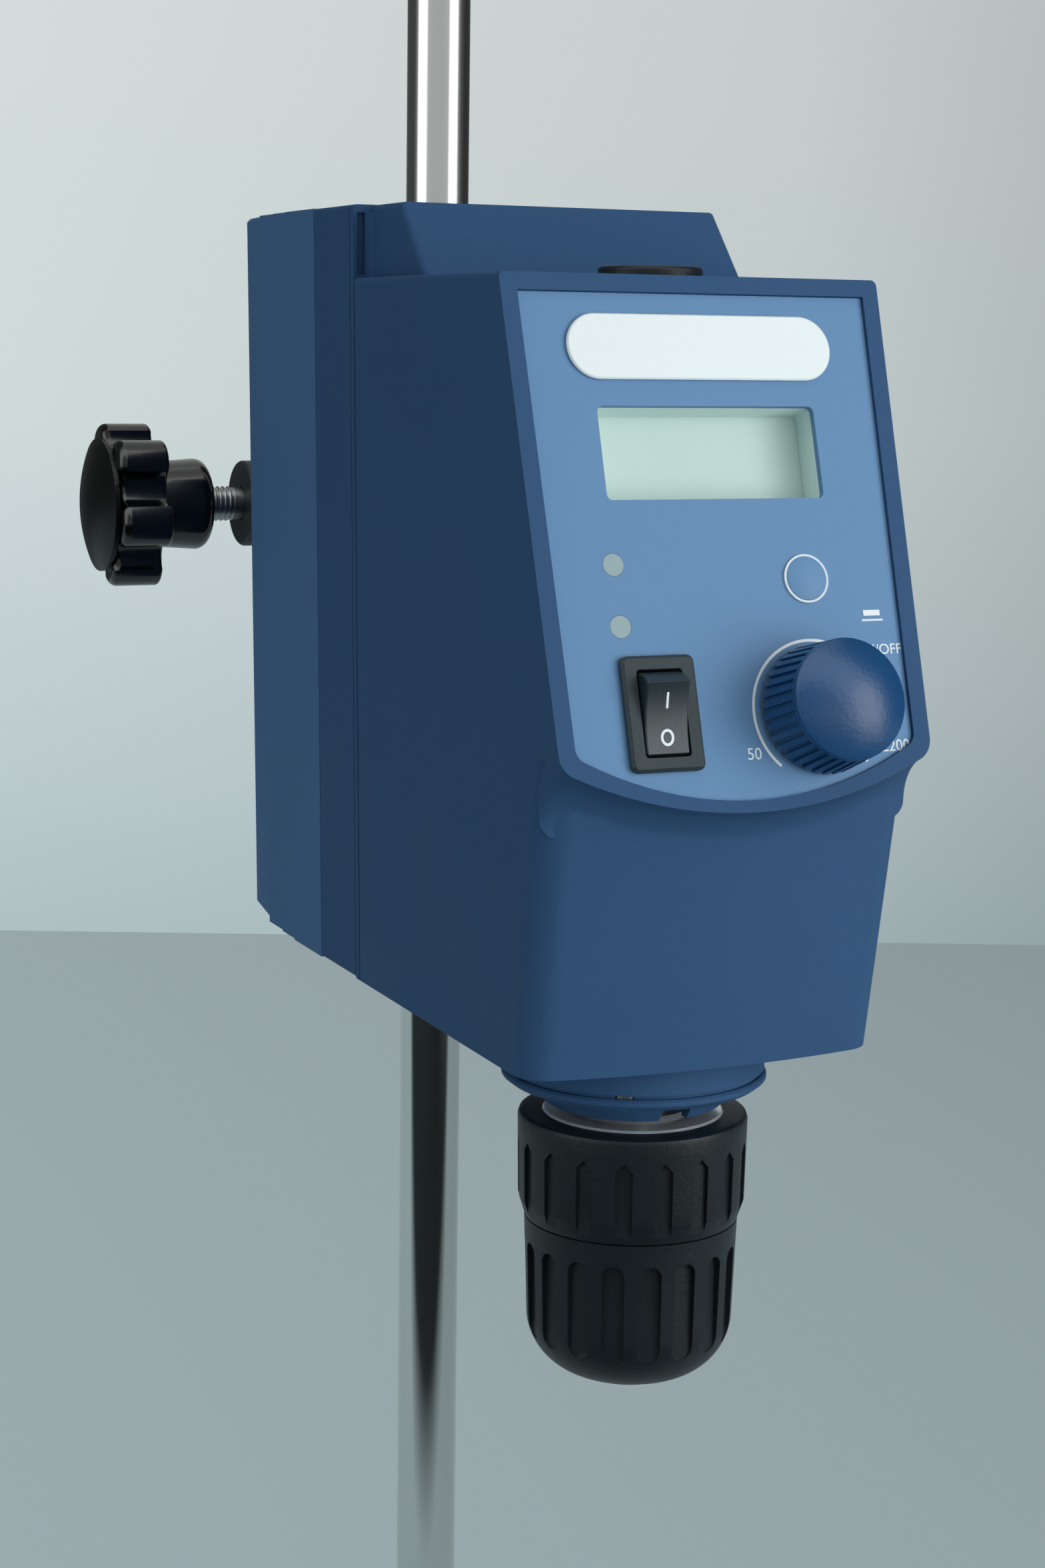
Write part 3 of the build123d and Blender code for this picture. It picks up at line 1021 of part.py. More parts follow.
def star_outline():
    """Lobed outline of a star knob: round lobes with hollows between them."""
    step = 2 * pi / STAR_LOBES
    flank = STAR_RADIUS - STAR_HOLLOW / 3
    edges = None
    for index in range(STAR_LOBES):
        crest = index * step
        start, end, after = crest - STAR_LOBE_SHARE * step, crest + STAR_LOBE_SHARE * step, crest + step / 2
        lobe = ThreePointArc(polar(flank, start), polar(STAR_RADIUS, crest), polar(flank, end))
        hollow = ThreePointArc(polar(flank, end), polar(STAR_RADIUS - STAR_HOLLOW, after),
                               polar(flank, start + step))
        edges = lobe + hollow if edges is None else edges + lobe + hollow
    return make_face(edges)


def polar(radius, angle):
    return radius * cos(angle), radius * sin(angle)


def star_knob(name):
    face, seat, side = clamp_side(name)
    hub_start = face + side * STAR_STANDOFF
    hub = Pos(0, 0, STAR_HUB_LENGTH / 2) * Cone(STAR_HUB_RADIUS, STAR_HUB_RADIUS - 1, STAR_HUB_LENGTH)
    hub = fillet(hub.edges().group_by(Axis.Z)[0], STAR_HUB_EDGE)
    star = Pos(0, 0, STAR_HUB_LENGTH) * Rot(0, 0, STAR_TURN) * extrude(star_outline(), STAR_THICKNESS)
    star = fillet(star.edges().group_by(Axis.Z)[-1], 2)
    star = fillet(star.edges().group_by(Axis.Z)[0], 1)
    knob = hub + star
    knob -= Pos(0, 0, STAR_HUB_LENGTH / 2 - SEAT) * Cylinder(SCREW_RADIUS + SEAT, STAR_HUB_LENGTH + 4 * SEAT)
    knob -= Pos(0, 0, STAR_HUB_LENGTH + STAR_THICKNESS) * Cylinder(STAR_RECESS_RADIUS + SEAT, 2 * STAR_RECESS)
    return Pos(hub_start, ROD_Y, BAR_Z) * Rot(0, 90 * side, 0) * knob


def star_cap(name):
    """Domed insert that closes the end of a star knob."""
    face, seat, side = clamp_side(name)
    start = face + side * (STAR_STANDOFF + STAR_HUB_LENGTH + STAR_THICKNESS)
    sphere = (STAR_CAP_RADIUS ** 2 + STAR_CAP_RISE ** 2) / (2 * STAR_CAP_RISE)
    middle = STAR_CAP_RADIUS / 2
    rim = STAR_CAP_RIM
    outline = Polyline((0, 0, SEAT), (STAR_CAP_RADIUS, 0, SEAT), (STAR_CAP_RADIUS, 0, rim))
    outline += ThreePointArc((STAR_CAP_RADIUS, 0, rim),
                             (middle, 0, rim + asin_point(middle, sphere, STAR_CAP_RISE)),
                             (0, 0, rim + STAR_CAP_RISE))
    outline += Line((0, 0, rim + STAR_CAP_RISE), (0, 0, SEAT))
    cap = revolve(make_face(outline), Axis.Z)
    cap += Pos(0, 0, -STAR_RECESS / 2 + SEAT) * Cylinder(STAR_RECESS_RADIUS, STAR_RECESS)
    return Pos(start, ROD_Y, BAR_Z) * Rot(0, 90 * side, 0) * cap


# ---- write one file per piece --------------------------------------------------

pieces = {
    "front_housing": front_housing, "middle_frame": middle_frame, "rear_cover": rear_cover,
    "cover_screws": cover_screws, "power_inlet": power_inlet, "power_board": power_board,
    "control_panel": control_panel, "name_plate": name_plate, "display_surround": display_surround,
    "display_module": display_module, "lamp_lenses": lamp_lenses, "control_board": control_board,
    "encoder_body": encoder_body, "encoder_shaft": encoder_shaft, "speed_knob": speed_knob,
    "button_ring": button_ring, "mode_button": mode_button, "switch_body": switch_body,
    "switch_rocker": switch_rocker, "drive_plate": drive_plate, "motor_screws": motor_screws,
    "motor_housing": motor_housing, "motor_shaft": motor_shaft, "drive_belt": drive_belt,
    "motor_pulley": lambda: pulley(MOTOR_PULLEY_RADIUS, MOTOR_SHAFT_RADIUS, MOTOR_Y),
    "spindle_pulley": lambda: pulley(SPINDLE_PULLEY_RADIUS, SPINDLE_RADIUS, 0),
    "bearing_tube": bearing_tube, "spindle_bearings": spindle_bearings, "retaining_rings": retaining_rings,
    "spindle": spindle, "spindle_collar": spindle_collar, "collar_screws": collar_screws, "top_cap": top_cap,
    "chuck_body": chuck_body, "chuck_ring": chuck_ring, "upper_sleeve": upper_sleeve,
    "lower_sleeve": lower_sleeve, "jaw_nut": jaw_nut, "nose_ring": nose_ring,
    "support_rod": support_rod, "mounting_bar": mounting_bar, "bar_collar": bar_collar, "boss_head": boss_head,
}
for index, turn in enumerate(JAW_TURNS):
    pieces[f"chuck_jaw_{index + 1}"] = lambda turn=turn: chuck_jaw(turn)
for name in ("bar", "rod"):
    pieces[f"{name}_clamp_pad"] = lambda name=name: clamp_pad(name)
    pieces[f"{name}_clamp_screw"] = lambda name=name: clamp_screw(name)
    pieces[f"{name}_star_knob"] = lambda name=name: star_knob(name)
    pieces[f"{name}_star_cap"] = lambda name=name: star_cap(name)

os.makedirs("parts", exist_ok=True)
for name, make in pieces.items():
    export_step(make(), f"parts/{name}.step")
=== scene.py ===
import bmesh
import bpy
import json
import math
from mathutils import Matrix, Vector


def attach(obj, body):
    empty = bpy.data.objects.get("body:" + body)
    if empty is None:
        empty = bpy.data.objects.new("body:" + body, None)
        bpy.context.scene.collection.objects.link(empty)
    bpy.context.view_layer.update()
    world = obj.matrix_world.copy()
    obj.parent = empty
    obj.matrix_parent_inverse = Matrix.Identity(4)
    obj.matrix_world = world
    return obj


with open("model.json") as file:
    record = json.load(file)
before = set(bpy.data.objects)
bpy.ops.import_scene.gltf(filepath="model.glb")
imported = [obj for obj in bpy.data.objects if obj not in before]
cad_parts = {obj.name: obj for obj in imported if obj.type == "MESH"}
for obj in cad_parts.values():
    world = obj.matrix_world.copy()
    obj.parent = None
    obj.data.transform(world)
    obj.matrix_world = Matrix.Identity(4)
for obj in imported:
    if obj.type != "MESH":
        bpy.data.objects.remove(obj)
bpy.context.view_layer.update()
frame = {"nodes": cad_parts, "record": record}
nodes = frame["nodes"]
MM = 0.001

# ---- camera ---------------------------------------------------------------

YAW, PITCH, ROLL = math.radians(23.96), math.radians(9.21), math.radians(-0.81)
forward = Vector((math.sin(YAW) * math.cos(PITCH), math.cos(YAW) * math.cos(PITCH), -math.sin(PITCH)))
level_right = Vector((math.cos(YAW), -math.sin(YAW), 0))
level_down = forward.cross(level_right)
right = level_right * math.cos(ROLL) + level_down * math.sin(ROLL)
down = level_down * math.cos(ROLL) - level_right * math.sin(ROLL)
camera = bpy.data.objects.new("camera", bpy.data.cameras.new("camera"))
bpy.context.scene.collection.objects.link(camera)
camera.data.sensor_width = 36
camera.data.lens = 62.05
camera.data.clip_end = 50
turn = Matrix((right, -down, -forward)).transposed().to_4x4()
camera.matrix_world = Matrix.Translation(Vector((-238.7, -479.4, 136.5)) * MM) @ turn
bpy.context.scene.camera = camera

# ---- the panel's own frame --------------------------------------------------

TILT = math.radians(17.7)
PANEL_TOP = Vector((0, -18, 150)) * MM
OUT = Vector((0, -math.cos(TILT), math.sin(TILT)))
UP = Vector((0, math.sin(TILT), math.cos(TILT)))
FACE = -0.8            # the overlay's face, in mm out from the rim


def on_panel(across, below, out=FACE):
    """Matrix of a frame on the panel: x across, y up the slope, z out. Millimetres in, metres out."""
    place = PANEL_TOP + Vector((across, 0, 0)) * MM - UP * below * MM + OUT * out * MM
    return Matrix.Translation(place) @ Matrix((Vector((1, 0, 0)), UP, OUT)).transposed().to_4x4()


# ---- materials --------------------------------------------------------------

def linear(r, g, b):
    """A colour given as 0-255 display values, as linear light."""
    return tuple((c / 255 / 12.92 if c <= 10 else ((c / 255 + 0.055) / 1.055) ** 2.4) for c in (r, g, b)) + (1,)


MOTTLE_SCALE = 30    # per metre


def material(name, rgb, rough, metal=0.0, grain=None, mottle=0.05, specular=0.5, coat=0.0, coat_rough=0.1,
             stretch=(1, 1, 1), rough_spread=0.06):
    """Plastic or metal with colour variation, uneven gloss and a fine surface. grain is (per metre, depth in mm)."""
    m = bpy.data.materials.new(name)
    m.use_nodes = True
    tree = m.node_tree
    shader = tree.nodes["Principled BSDF"]
    shader.inputs["Metallic"].default_value = metal
    shader.inputs["Specular IOR Level"].default_value = specular
    shader.inputs["Coat Weight"].default_value = coat
    shader.inputs["Coat Roughness"].default_value = coat_rough
    where = tree.nodes.new("ShaderNodeTexCoord")
    scale = tree.nodes.new("ShaderNodeMapping")
    scale.inputs["Scale"].default_value = stretch
    tree.links.new(where.outputs["Object"], scale.inputs["Vector"])
    cloud = tree.nodes.new("ShaderNodeTexNoise")
    cloud.inputs["Scale"].default_value = MOTTLE_SCALE
    cloud.inputs["Detail"].default_value = 5
    tree.links.new(scale.outputs["Vector"], cloud.inputs["Vector"])
    ramp = tree.nodes.new("ShaderNodeValToRGB")
    base = linear(*rgb)
    for stop, factor in ((0, 1 - mottle), (1, 1 + mottle)):
        ramp.color_ramp.elements[stop].color = tuple(min(1, c * factor) for c in base[:3]) + (1,)
    ramp.color_ramp.elements[0].position = 0.3
    ramp.color_ramp.elements[1].position = 0.7
    tree.links.new(cloud.outputs["Fac"], ramp.inputs["Fac"])
    tree.links.new(ramp.outputs["Color"], shader.inputs["Base Color"])
    gloss = tree.nodes.new("ShaderNodeMapRange")
    gloss.inputs["To Min"].default_value = max(0.02, rough - rough_spread)
    gloss.inputs["To Max"].default_value = min(1, rough + rough_spread)
    gloss.inputs["From Min"].default_value = 0.3
    gloss.inputs["From Max"].default_value = 0.7
    tree.links.new(cloud.outputs["Fac"], gloss.inputs["Value"])
    tree.links.new(gloss.outputs["Result"], shader.inputs["Roughness"])
    if grain:
        fine = tree.nodes.new("ShaderNodeTexNoise")
        fine.inputs["Scale"].default_value = grain[0]
        fine.inputs["Detail"].default_value = 3
        tree.links.new(scale.outputs["Vector"], fine.inputs["Vector"])
        bump = tree.nodes.new("ShaderNodeBump")
        bump.inputs["Distance"].default_value = grain[1] * MM
        bump.inputs["Strength"].default_value = 1
        tree.links.new(fine.outputs["Fac"], bump.inputs["Height"])
        tree.links.new(bump.outputs["Normal"], shader.inputs["Normal"])
    return m


looks = {
    "housing": material("housing_plastic", (48, 80, 117), 0.62, grain=(1500, 0.05), mottle=0.02, specular=0.1),
    "panel": material("panel_overlay", (94, 133, 173), 0.45, grain=(2600, 0.008), mottle=0.01, specular=0.15),
    "plate": material("plate_white", (220, 231, 234), 0.5, mottle=0.006, specular=0.15),
    "display": material("display_glass", (186, 208, 203), 0.45, mottle=0.008, specular=0.2),
    "trim": material("display_surround", (204, 226, 222), 0.55, grain=(2000, 0.01), mottle=0.02, specular=0.25),
    "ring": material("ring_white", (196, 211, 222), 0.42, mottle=0.006, specular=0.3),
    "lens": material("lamp_lens", (140, 163, 168), 0.45, mottle=0.03, specular=0.2),
    # rear cover: the housing's plastic painted lighter, as painted light falling on it from the left and behind
    "rear": material("rear_plastic_painted_light", (68, 104, 145), 0.62, grain=(1500, 0.05), mottle=0.02, specular=0.1),
    "cap": material("cap_gloss", (7, 8, 9), 0.3, mottle=0.06, specular=0.25),
    # chuck and nose rings: real bright chrome, with a white diffuse share that is a painted reflection of bright
    # surroundings
    "bright": material("chrome_painted_reflection", (236, 244, 248), 0.2, metal=0.7, grain=(300, 0.01), mottle=0.03,
                       rough_spread=0.03),
    "board": material("circuit_board", (30, 96, 52), 0.4, grain=(900, 0.03), mottle=0.1),
    "knob": material("knob_plastic", (17, 65, 110), 0.31, grain=(1100, 0.06), mottle=0.03, specular=0.45),
    "button": material("button_cap", (94, 133, 173), 0.42, grain=(2600, 0.01), mottle=0.01, specular=0.2),
    "black_gloss": material("black_gloss", (6, 7, 9), 0.2, grain=(500, 0.012), mottle=0.1, coat=0.3, coat_rough=0.08,
                            specular=0.4),
    "rocker": material("rocker_black", (26, 42, 48), 0.38, grain=(1800, 0.02), mottle=0.04, specular=0.6),
    "black_matt": material("black_matt", (20, 29, 33), 0.44, grain=(900, 0.07), mottle=0.10, specular=0.28),
    "bezel": material("bezel_black", (42, 54, 58), 0.5, grain=(1800, 0.02), mottle=0.04, specular=0.25),
    "steel": material("ground_steel", (176, 178, 178), 0.26, metal=1, grain=(900, 0.006), mottle=0.06,
                      stretch=(1, 1, 0.1)),
    "rod": material("rod_chrome", (206, 208, 206), 0.1, metal=1, grain=(70, 0.01), mottle=0.03, stretch=(1, 1, 0.2),
                    rough_spread=0.03),
    "zinc": material("zinc_plate", (150, 152, 152), 0.36, metal=1, grain=(1200, 0.01), mottle=0.06),
    "cast": material("cast_enamel", (46, 50, 53), 0.5, grain=(700, 0.05), mottle=0.05, specular=0.4),
    "alloy": material("machined_alloy", (190, 192, 195), 0.3, metal=1, grain=(1000, 0.01), mottle=0.05),
    "belt": material("belt_rubber", (20, 20, 20), 0.7, grain=(900, 0.05), mottle=0.1),
    "ink": material("white_ink", (214, 226, 232), 0.5, mottle=0.01),
}
# pieces that look unlike the rest of their slot; the rear cover's lighter plastic is painted light
other_looks = {"switch_rocker": "rocker", "switch_body": "bezel", "support_rod": "rod", "rear_cover": "rear",
               "bar_star_cap": "cap", "rod_star_cap": "cap", "chuck_ring": "bright", "nose_ring": "bright"}
slot_of = {s["node"]: s["material_slot"] for s in frame["record"]["subparts"]}
for name, node in nodes.items():
    look = looks[other_looks.get(name, slot_of[name])]
    node.data.materials.clear()
    node.data.materials.append(look)

# ---- soft edges on the CAD pieces ---------------------------------------------

EDGE_WIDTH = {    # mm
    "front_housing": 0.5, "middle_frame": 0.35, "rear_cover": 0.25, "speed_knob": 0.25, "switch_body": 0.2,
    "switch_rocker": 0.35, "spindle_collar": 0.4, "upper_sleeve": 0.3, "lower_sleeve": 0.3, "bar_star_knob": 0.9,
    "rod_star_knob": 0.9, "bar_star_cap": 0.3, "rod_star_cap": 0.3, "top_cap": 0.4, "boss_head": 0.5, "name_plate": 0.2,
    "mode_button": 0.15, "display_surround": 0.15, "control_panel": 0.15,
}


def smooth_group(angle):
    """Smooth shading across every edge flatter than an angle, and a sharp break at the others."""
    tree = bpy.data.node_groups.new("smooth_by_angle", "GeometryNodeTree")
    tree.interface.new_socket("Geometry", in_out="INPUT", socket_type="NodeSocketGeometry")
    tree.interface.new_socket("Geometry", in_out="OUTPUT", socket_type="NodeSocketGeometry")
    entry, leave = tree.nodes.new("NodeGroupInput"), tree.nodes.new("NodeGroupOutput")
    bend = tree.nodes.new("GeometryNodeInputMeshEdgeAngle")
    steep = tree.nodes.new("FunctionNodeCompare")
    steep.data_type, steep.operation = "FLOAT", "GREATER_THAN"
    steep.inputs[1].default_value = math.radians(angle)
    tree.links.new(bend.outputs["Unsigned Angle"], steep.inputs[0])
    normal = tree.nodes.new("GeometryNodeSetMeshNormal")
    normal.mode = "SHARPNESS"
    normal.inputs["Remove Custom"].default_value = True
    tree.links.new(entry.outputs[0], normal.inputs["Mesh"])
    tree.links.new(steep.outputs[0], normal.inputs["Edge Sharpness"])
    tree.links.new(normal.outputs["Mesh"], leave.inputs[0])
    return tree


SMOOTH_ANGLE, BEVEL_ANGLE = 30, 35
smooth = smooth_group(SMOOTH_ANGLE)
for name, node in nodes.items():
    weld = node.modifiers.new("weld", "WELD")
    weld.merge_threshold = 1e-6
    width = EDGE_WIDTH.get(name)
    if width:
        bevel = node.modifiers.new("soft_edges", "BEVEL")
        bevel.width = width * MM
        bevel.segments = 3
        bevel.limit_method = "ANGLE"
        bevel.angle_limit = math.radians(BEVEL_ANGLE)
        bevel.use_clamp_overlap = True
    node.modifiers.new("smooth", "NODES").node_group = smooth
    weight = node.modifiers.new("flat_faces", "WEIGHTED_NORMAL")
    weight.keep_sharp = True
    weight.weight = 80

# ---- new pieces -----------------------------------------------------------------

def add(name, data, look, body, place=Matrix.Identity(4)):
    piece = bpy.data.objects.new(name, data)
    bpy.context.scene.collection.objects.link(piece)
    piece.matrix_world = place
    data.materials.append(looks[look])
    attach(piece, body)
    return piece


INK, LETTER_INK = 0.03, 0.02    # how far bands and letters stand out, in mm
CAPITAL = 0.7                   # a capital's height as a share of the type's size


def ribbon(points_in, points_out, thick, closed=False):
    """Mesh of a flat printed band between two rows of points in the plane, in mm."""
    mesh = bpy.data.meshes.new("band")
    bm = bmesh.new()
    count = len(points_in)
    rows = []
    for pts in (points_in, points_out):
        rows.append([bm.verts.new((x * MM, y * MM, thick * MM)) for x, y in pts])
    for i in range(count if closed else count - 1):
        j = (i + 1) % count
        bm.faces.new((rows[0][i], rows[0][j], rows[1][j], rows[1][i]))
    bmesh.ops.recalc_face_normals(bm, faces=bm.faces)
    bm.to_mesh(mesh)
    bm.free()
    return mesh


def arc_band(radius, width, start, end, steps=96):
    """Printed arc round the origin, in mm, between two angles in degrees."""
    turns = [math.radians(start + (end - start) * i / (steps - 1)) for i in range(steps)]
    inner = [((radius - width / 2) * math.cos(a), (radius - width / 2) * math.sin(a)) for a in turns]
    outer = [((radius + width / 2) * math.cos(a), (radius + width / 2) * math.sin(a)) for a in turns]
    return ribbon(inner, outer, INK)


def lettering(name, text, height, place, body, look="ink"):
    """Flat printed characters of a given capital height in mm, centred on a place."""
    curve = bpy.data.curves.new(name, "FONT")
    curve.body = text
    curve.align_x = "CENTER"
    curve.align_y = "CENTER"
    curve.size = height / CAPITAL * MM
    curve.extrude = LETTER_INK * MM
    return add(name, curve, look, body, place)


KNOB = (15.6, 84.0)             # across the panel and down its slope, as are all places on the panel
DIAL_TYPE = 2.2
add("dial_arc", arc_band(13.5, 0.55, 228, -48), "ink", "head", on_panel(*KNOB))
lettering("dial_low", "50", DIAL_TYPE, on_panel(1.2, 91.6, FACE + LETTER_INK), "head")
lettering("dial_high", "2200", DIAL_TYPE, on_panel(31.6, 91.4, FACE + LETTER_INK), "head")
lettering("on_off", "ON/OFF", 2.0, on_panel(30.4, 72.8, FACE + LETTER_INK), "head")
add("push_bar", ribbon([(-1.8, -0.55), (1.8, -0.55)], [(-1.8, 0.55), (1.8, 0.55)], INK), "ink", "head",
    on_panel(30.0, 65.6))
add("push_line", ribbon([(-2.3, -0.17), (2.3, -0.17)], [(-2.3, 0.17), (2.3, 0.17)], INK), "ink", "head",
    on_panel(30.0, 67.0))

# the marks on the rocker lie on its hollow face, which leans with it
ROCKER = (-17.2, 83.3, -1.55)   # its axis
ROCKER_REACH, ROCKER_LEAN = 7.9, math.radians(16)
FACE_HALF, FACE_DIP = 6.6, 1.0
FACE_RISE = math.sqrt(ROCKER_REACH ** 2 - FACE_HALF ** 2)
FACE_BEND = (FACE_HALF ** 2 + FACE_DIP ** 2) / (2 * FACE_DIP)


def on_rocker(mesh):
    """Wrap a flat band of across and up-slope places on to the rocker's face, a little proud of it."""
    for vertex in mesh.vertices:
        up = vertex.co.y / MM
        out = FACE_RISE - FACE_DIP + FACE_BEND - math.sqrt(FACE_BEND ** 2 - up ** 2) + INK
        vertex.co.y = (up * math.cos(ROCKER_LEAN) - out * math.sin(ROCKER_LEAN)) * MM
        vertex.co.z = (up * math.sin(ROCKER_LEAN) + out * math.cos(ROCKER_LEAN)) * MM
    return mesh


ON_X, ON_HALF, ON_FOOT, ON_LENGTH, ON_STEPS = -0.02, 0.225, 1.6, 3.0, 6
OFF_Y, OFF_IN, OFF_OUT, OFF_STEPS = -3.7, (0.85, 1.05), (1.35, 1.55), 48
bar_rows = [ON_FOOT + ON_LENGTH * i / ON_STEPS for i in range(ON_STEPS + 1)]
add("rocker_on_mark",
    on_rocker(ribbon([(ON_X - ON_HALF, y) for y in bar_rows], [(ON_X + ON_HALF, y) for y in bar_rows], 0)),
    "ink", "rocker", on_panel(*ROCKER))
ovals = [[(half_x * math.cos(2 * math.pi * i / OFF_STEPS), OFF_Y + half_y * math.sin(2 * math.pi * i / OFF_STEPS))
          for i in range(OFF_STEPS)] for half_x, half_y in (OFF_IN, OFF_OUT)]
add("rocker_off_mark", on_rocker(ribbon(*ovals, 0, True)), "ink", "rocker", on_panel(*ROCKER))

SCREWS_AXIS = (175, 96.3)       # Y and Z of both clamping screws


def thread(name, start, end, side, body):
    """Helical ridge round a clamping screw, which lies along X, from one X to another. side is the way it runs."""
    pitch, depth, core, wide = 1.3, 0.42, 3.95, 0.9
    steps = 28    # to a turn
    count = int(abs(end - start) / pitch * steps)
    mesh = bpy.data.meshes.new(name)
    bm = bmesh.new()
    rows = []
    for i in range(count + 1):
        a = 2 * math.pi * i / steps
        x = start + side * pitch * i / steps
        fade = min(1, i / steps, (count - i) / steps)
        row = []
        for shift, grow in ((-wide / 2, 0), (0, depth * fade), (wide / 2, 0)):
            r = (core + grow) * MM
            row.append(bm.verts.new(((x + shift) * MM, SCREWS_AXIS[0] * MM + r * math.cos(a),
                                     SCREWS_AXIS[1] * MM + r * math.sin(a))))
        rows.append(row)
    for near, far in zip(rows, rows[1:]):
        for k in (0, 1):
            bm.faces.new((near[k], near[k + 1], far[k + 1], far[k]))
    bmesh.ops.recalc_face_normals(bm, faces=bm.faces)
    bm.to_mesh(mesh)
    bm.free()
    mesh.polygons.foreach_set("use_smooth", [True] * len(mesh.polygons))
    return add(name, mesh, "zinc", body)


thread("bar_screw_thread", -28.6, -37.6, -1, "bar_screw")
thread("rod_screw_thread", 54.6, 63.6, 1, "rod_screw")

# ---- floor, wall and light --------------------------------------------------------

FLOOR_Z = -0.268
ROOM_LEVEL = 1.0
# how bright the room is from straight ahead of the camera, at 0, to straight behind it, at 1: for matt pieces, and for
# what glossy ones mirror
ROOM_BANDS = ((0.02, 0.45), (0.14, 0.10), (0.35, 0.20), (0.6, 0.34), (0.85, 0.4), (0.98, 0.34))
GLOSS_BANDS = ((0.02, 0.12), (0.14, 0.05), (0.45, 0.08), (0.56, 0.3), (0.63, 2.2), (0.84, 2.2), (0.9, 0.62),
               (0.98, 0.56))


def flat(name, corners, look):
    mesh = bpy.data.meshes.new(name)
    mesh.from_pydata([Vector(c) for c in corners], [], [range(len(corners))])
    piece = bpy.data.objects.new(name, mesh)
    bpy.context.scene.collection.objects.link(piece)
    mesh.materials.append(look)
    return piece


def position_ramp(tree, axis, low, high, stops):
    """Colours along a fixed direction of the scene."""
    where = tree.nodes.new("ShaderNodeNewGeometry")
    along = tree.nodes.new("ShaderNodeVectorMath")
    along.operation = "DOT_PRODUCT"
    along.inputs[1].default_value = axis
    tree.links.new(where.outputs["Position"], along.inputs[0])
    span = tree.nodes.new("ShaderNodeMapRange")
    span.inputs["From Min"].default_value = low
    span.inputs["From Max"].default_value = high
    tree.links.new(along.outputs["Value"], span.inputs["Value"])
    ramp = tree.nodes.new("ShaderNodeValToRGB")
    while len(ramp.color_ramp.elements) < len(stops):
        ramp.color_ramp.elements.new(0.5)
    for element, (position, rgb) in zip(ramp.color_ramp.elements, stops):
        element.position = position
        element.color = rgb
    tree.links.new(span.outputs["Result"], ramp.inputs["Fac"])
    return ramp.outputs["Color"]


def times(tree, first, second):
    product = tree.nodes.new("ShaderNodeMix")
    product.data_type = "RGBA"
    product.blend_type = "MULTIPLY"
    product.inputs["Factor"].default_value = 1
    tree.links.new(first, product.inputs[6])
    tree.links.new(second, product.inputs[7])
    return product.outputs[2]


def backdrop_look(name, ramps, mirrored):
    """Surface seen at the product of its ramps, whatever the lamps do, matt to the light itself and clear from behind.
    mirrored holds more ramps, for what glossy pieces see of it."""
    m = bpy.data.materials.new(name)
    m.use_nodes = True
    tree = m.node_tree
    tree.nodes.clear()
    colour = position_ramp(tree, *ramps[0])
    for ramp in ramps[1:]:
        colour = times(tree, colour, position_ramp(tree, *ramp))
    glow = tree.nodes.new("ShaderNodeEmission")
    tree.links.new(colour, glow.inputs["Color"])
    image = tree.nodes.new("ShaderNodeEmission")
    seen = colour
    for ramp in mirrored:
        seen = times(tree, seen, position_ramp(tree, *ramp))
    tree.links.new(seen, image.inputs["Color"])
    matt = tree.nodes.new("ShaderNodeBsdfDiffuse")
    tree.links.new(colour, matt.inputs["Color"])
    path = tree.nodes.new("ShaderNodeLightPath")
    either = tree.nodes.new("ShaderNodeMath")
    either.operation = "MAXIMUM"
    tree.links.new(path.outputs["Is Glossy Ray"], either.inputs[0])
    tree.links.new(path.outputs["Is Transmission Ray"], either.inputs[1])
    first = tree.nodes.new("ShaderNodeMixShader")
    tree.links.new(either.outputs["Value"], first.inputs["Fac"])
    tree.links.new(matt.outputs["BSDF"], first.inputs[1])
    tree.links.new(image.outputs["Emission"], first.inputs[2])
    mix = tree.nodes.new("ShaderNodeMixShader")
    tree.links.new(path.outputs["Is Camera Ray"], mix.inputs["Fac"])
    tree.links.new(first.outputs["Shader"], mix.inputs[1])
    tree.links.new(glow.outputs["Emission"], mix.inputs[2])
    one_sided = tree.nodes.new("ShaderNodeMixShader")
    tree.links.new(tree.nodes.new("ShaderNodeNewGeometry").outputs["Backfacing"], one_sided.inputs["Fac"])
    tree.links.new(mix.outputs["Shader"], one_sided.inputs[1])
    tree.links.new(tree.nodes.new("ShaderNodeBsdfTransparent").outputs["BSDF"], one_sided.inputs[2])
    out = tree.nodes.new("ShaderNodeOutputMaterial")
    tree.links.new(one_sided.outputs["Shader"], out.inputs["Surface"])
    return m


ahead = Vector((forward.x, forward.y, 0)).normalized()
eye = camera.matrix_world.translation


def point(distance, side, z):
    """A point at a distance ahead of the camera on the ground plan, some way to its right, at a height."""
    p = Vector((eye.x, eye.y, 0)) + ahead * distance + level_right * side
    return (p.x, p.y, z)


def tones(*stops):
    return [(position, linear(*rgb)) for position, rgb in stops]


def shades(*stops):
    return [(position, (level, level, level, 1)) for position, level in stops]


